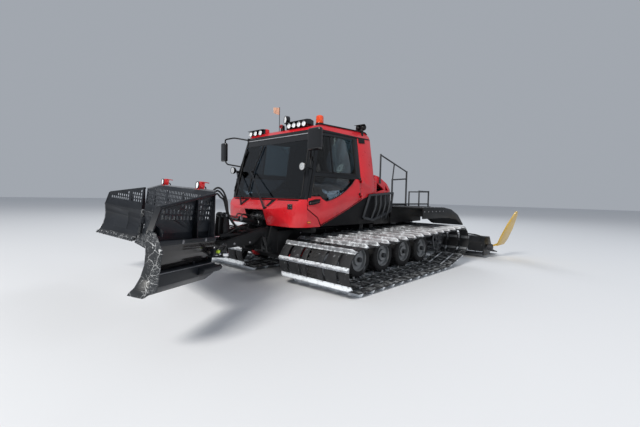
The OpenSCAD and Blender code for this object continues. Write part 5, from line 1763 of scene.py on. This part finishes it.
class TillerOperator(bpy.types.Operator):
    """Tiller with its rotor, comb and side finishers"""
    bl_idname = "groomer.tiller"
    bl_label = "Tiller"

    def execute(self, context):
        soften("tiller_housing", "black_enamel", 0.004, rule=self.housing_finish)
        soften("finisher_left", "yellow_enamel", 0.004)
        soften("finisher_right", "yellow_enamel", 0.004)
        self.rotor()
        self.trim()
        self.finishers()
        return {"FINISHED"}

    def rotor(self):
        half = TILLER_HALF
        drum = Shape("worn_steel")
        drum.use("grey_powder").lathe([(40, 0), (40, 34), (86, 36), (90, 40), (90, 2 * half - 40),
                                       (86, 2 * half - 36), (40, 2 * half - 34), (40, 2 * half)],
                                      (-half, TILLER_Y, TILLER_Z), LEFT, 40)
        drum.done("rotor_drum", "rotor", "cast_grey", ["tiller_rotor"])
        places = []
        for k in range(36):
            x = -half + 80 + k * (2 * half - 160) / 35
            for flip in (0, 180):
                places.append(Matrix.Translation(at(x, TILLER_Y, TILLER_Z)) @ spin(k * 77 + flip, "X"))
        spread("rotor_tines", "rotor", "cast_grey", places, draw_tine, "worn_steel", ["tiller_rotor"],
               sharp=50)

    def trim(self):
        shape = Shape("bolt_zinc")
        for k in range(17):
            x = -2000 + k * 250
            shape.use("black_enamel").plate([(5648, 438), (5772, 566), (5800, 580), (5780, 590),
                                             (5640, 450)], x - 5, 10, edge=2)
            shape.use("bolt_zinc").bolt((x + 125, 5920, 560), UP, 11, 8)
            shape.use("bolt_zinc").bolt((x + 125, 6212, 338), (0, 0.4, 1), 9, 6)
        shape.use("frame_grey").block((-2076, 6196, 296), (2076, 6250, 326), 6, turn=spin(-24, "X"))
        shape.use("worn_steel").block((-520, 5800, 560), (-300, 5960, 640), 12)
        shape.use("cast_iron").lathe([(70, 0), (82, 8), (82, 110), (60, 120), (0, 120)],
                                     (TILLER_HALF + 16, TILLER_Y, TILLER_Z), LEFT)
        for s in (-1, 1):
            shape.hose([(s * 100, 5600, 600), (s * 400, 5700, 640), (s * 1100, 5800, 610),
                        (s * 1800, 5820, 600), (s * 2060, 5860, 520)], 16)
        shape.done("tiller_trim", "tiller", "black_paint")
        places = [Matrix.Translation(at(-2046 + k * 62, 6800, 84)) @ spin(-8, "X") for k in range(67)]
        spread("comb_teeth", "tiller", "black_paint", places, draw_comb_tooth, "hose_black")

    def finishers(self):
        for _, label, place in FLANKS:
            trim = Shape("bolt_zinc", place=place @ shift(*FINISHER_HINGE) @ spin(-65, "Y"))
            for u, v in ((160, 260), (160, 640), (420, 160), (420, 700), (820, 180), (900, 420)):
                trim.bolt((u, v, -116), UP, 12, 8)
            trim.use("black_enamel")
            for u, v, w, h in ((200, 300, 240, 620), (300, 240, 860, 280)):
                trim.plate([(u, v), (w, v), (w, h), (u, h)], -116, 20, axis="Z", edge=3)
            trim.done("finisher_%s_trim" % label, "finisher_" + label, "yellow_paint")

    @staticmethod
    def housing_finish(p, n):
        return "hose_black" if p.y > 6245 else None


FLOOR_REACH, FLOOR_GREY = 90, (0.70, 0.71, 0.73, 1)
SKY_COLOUR, SKY_STRENGTH = (0.80, 0.86, 0.95, 1), 0.45
# Lamps: name, place, aim, width, power, colour
LAMPS = (
    ("key", (6.5, -25.0, 21.0), (0, -2, 1), 9.0, 9000.0, (1.0, 0.97, 0.92)),
    ("bounce", (1.0, -15.0, 0.9), (0, 0, 1.3), 5.0, 260.0, (0.96, 0.98, 1.0)),
    ("fill", (20.0, 6.0, 9.0), (0, 0, 1), 10.0, 1100.0, (0.92, 0.96, 1.0)),
    ("back", (-14.0, 16.0, 14.0), (0, 0, 1), 10.0, 1500.0, (0.95, 0.98, 1.0)),
)
# Camera in the frame: place, turn about the machine, look down, lean, focal length over width
CAMERA_PLACE = (5.2103, -3.898 + SHIFT_Y, 1.5236)
CAMERA_TURN, CAMERA_DOWN, CAMERA_LEAN = 0.7509, 0.0482, 0.0219
CAMERA_FOCAL = 354.2 / 640


class StageOperator(bpy.types.Operator):
    """Floor, light and camera"""
    bl_idname = "groomer.stage"
    bl_label = "Stage"

    def execute(self, context):
        context.scene.view_settings.view_transform = "Standard"
        self.floor()
        self.light(context.scene)
        self.camera(context.scene)
        return {"FINISHED"}

    def floor(self):
        mesh = bpy.data.meshes.new("floor")
        corners = [(x * FLOOR_REACH, y * FLOOR_REACH, 0) for x, y in ((-1, -1), (1, -1), (1, 1), (-1, 1))]
        mesh.from_pydata(corners, [], [(0, 1, 2, 3)])
        pale = bpy.data.materials.new("pale_floor")
        pale.use_nodes = True
        shader = pale.node_tree.nodes["Principled BSDF"]
        shader.inputs["Base Color"].default_value = FLOOR_GREY
        shader.inputs["Roughness"].default_value = 0.9
        mesh.materials.append(pale)
        linked("floor", mesh)

    def light(self, scene):
        world = bpy.data.worlds.new("studio")
        world.use_nodes = True
        scene.world = world
        sky = world.node_tree.nodes["Background"]
        sky.inputs["Color"].default_value = SKY_COLOUR
        sky.inputs["Strength"].default_value = SKY_STRENGTH
        for label, place, aim, width, power, colour in LAMPS:
            lamp = bpy.data.lights.new(label, "AREA")
            lamp.size = width
            lamp.energy = power
            lamp.color = colour
            holder = linked(label, lamp)
            holder.location = place
            holder.rotation_euler = (Vector(aim) - Vector(place)).to_track_quat("-Z", "Y").to_euler()
            # Only the key lamp shows as a highlight
            holder.visible_glossy = label == "key"

    def camera(self, scene):
        lens = bpy.data.cameras.new("camera")
        lens.sensor_fit = "HORIZONTAL"
        lens.sensor_width = 36.0
        lens.lens = CAMERA_FOCAL * lens.sensor_width
        lens.clip_start = 0.05
        lens.clip_end = 500.0
        flat = math.cos(CAMERA_DOWN)
        back = Vector((math.sin(CAMERA_TURN) * flat, -math.cos(CAMERA_TURN) * flat,
                       math.sin(CAMERA_DOWN)))
        level = (-back).cross(Vector(UP)).normalized()
        upright = level.cross(-back)
        right = level * math.cos(CAMERA_LEAN) + upright * math.sin(CAMERA_LEAN)
        up = upright * math.cos(CAMERA_LEAN) - level * math.sin(CAMERA_LEAN)
        scene.camera = linked("camera", lens)
        turn = Matrix((right, up, back)).transposed().to_4x4()
        scene.camera.matrix_world = Matrix.Translation(CAMERA_PLACE) @ turn


PIECE_OPERATORS = (TrackOperator, ChassisOperator, CabOperator, PaneOperator, InsideOperator,
                   FittingOperator, RearBodyOperator, LinkageOperator, BladeOperator, TillerOperator,
                   StageOperator)


class GroomerPanel(bpy.types.Panel):
    """Lists the pieces of the groomer"""
    bl_idname = "VIEW3D_PT_groomer"
    bl_label = "Groomer"
    bl_space_type = "VIEW_3D"
    bl_region_type = "UI"
    bl_category = "Groomer"

    def draw(self, context):
        layout = self.layout
        for settings in (context.scene.groomer_paint, context.scene.groomer_sizes):
            for key in settings.__annotations__:
                layout.prop(settings, key)
        for kind in PIECE_OPERATORS:
            layout.operator(kind.bl_idname)


CLASSES = (GroomerPaint, GroomerSizes, *PIECE_OPERATORS, GroomerPanel)


def register():
    for kind in CLASSES:
        bpy.utils.register_class(kind)
    bpy.types.Scene.groomer_paint = PointerProperty(type=GroomerPaint)
    bpy.types.Scene.groomer_sizes = PointerProperty(type=GroomerSizes)


def unregister():
    del bpy.types.Scene.groomer_sizes
    del bpy.types.Scene.groomer_paint
    for kind in reversed(CLASSES):
        bpy.utils.unregister_class(kind)


def main():
    register()
    make_materials()
    for kind in PIECE_OPERATORS:
        area, name = kind.bl_idname.split(".")
        getattr(getattr(bpy.ops, area), name)()


if __name__ == "__main__":
    main()
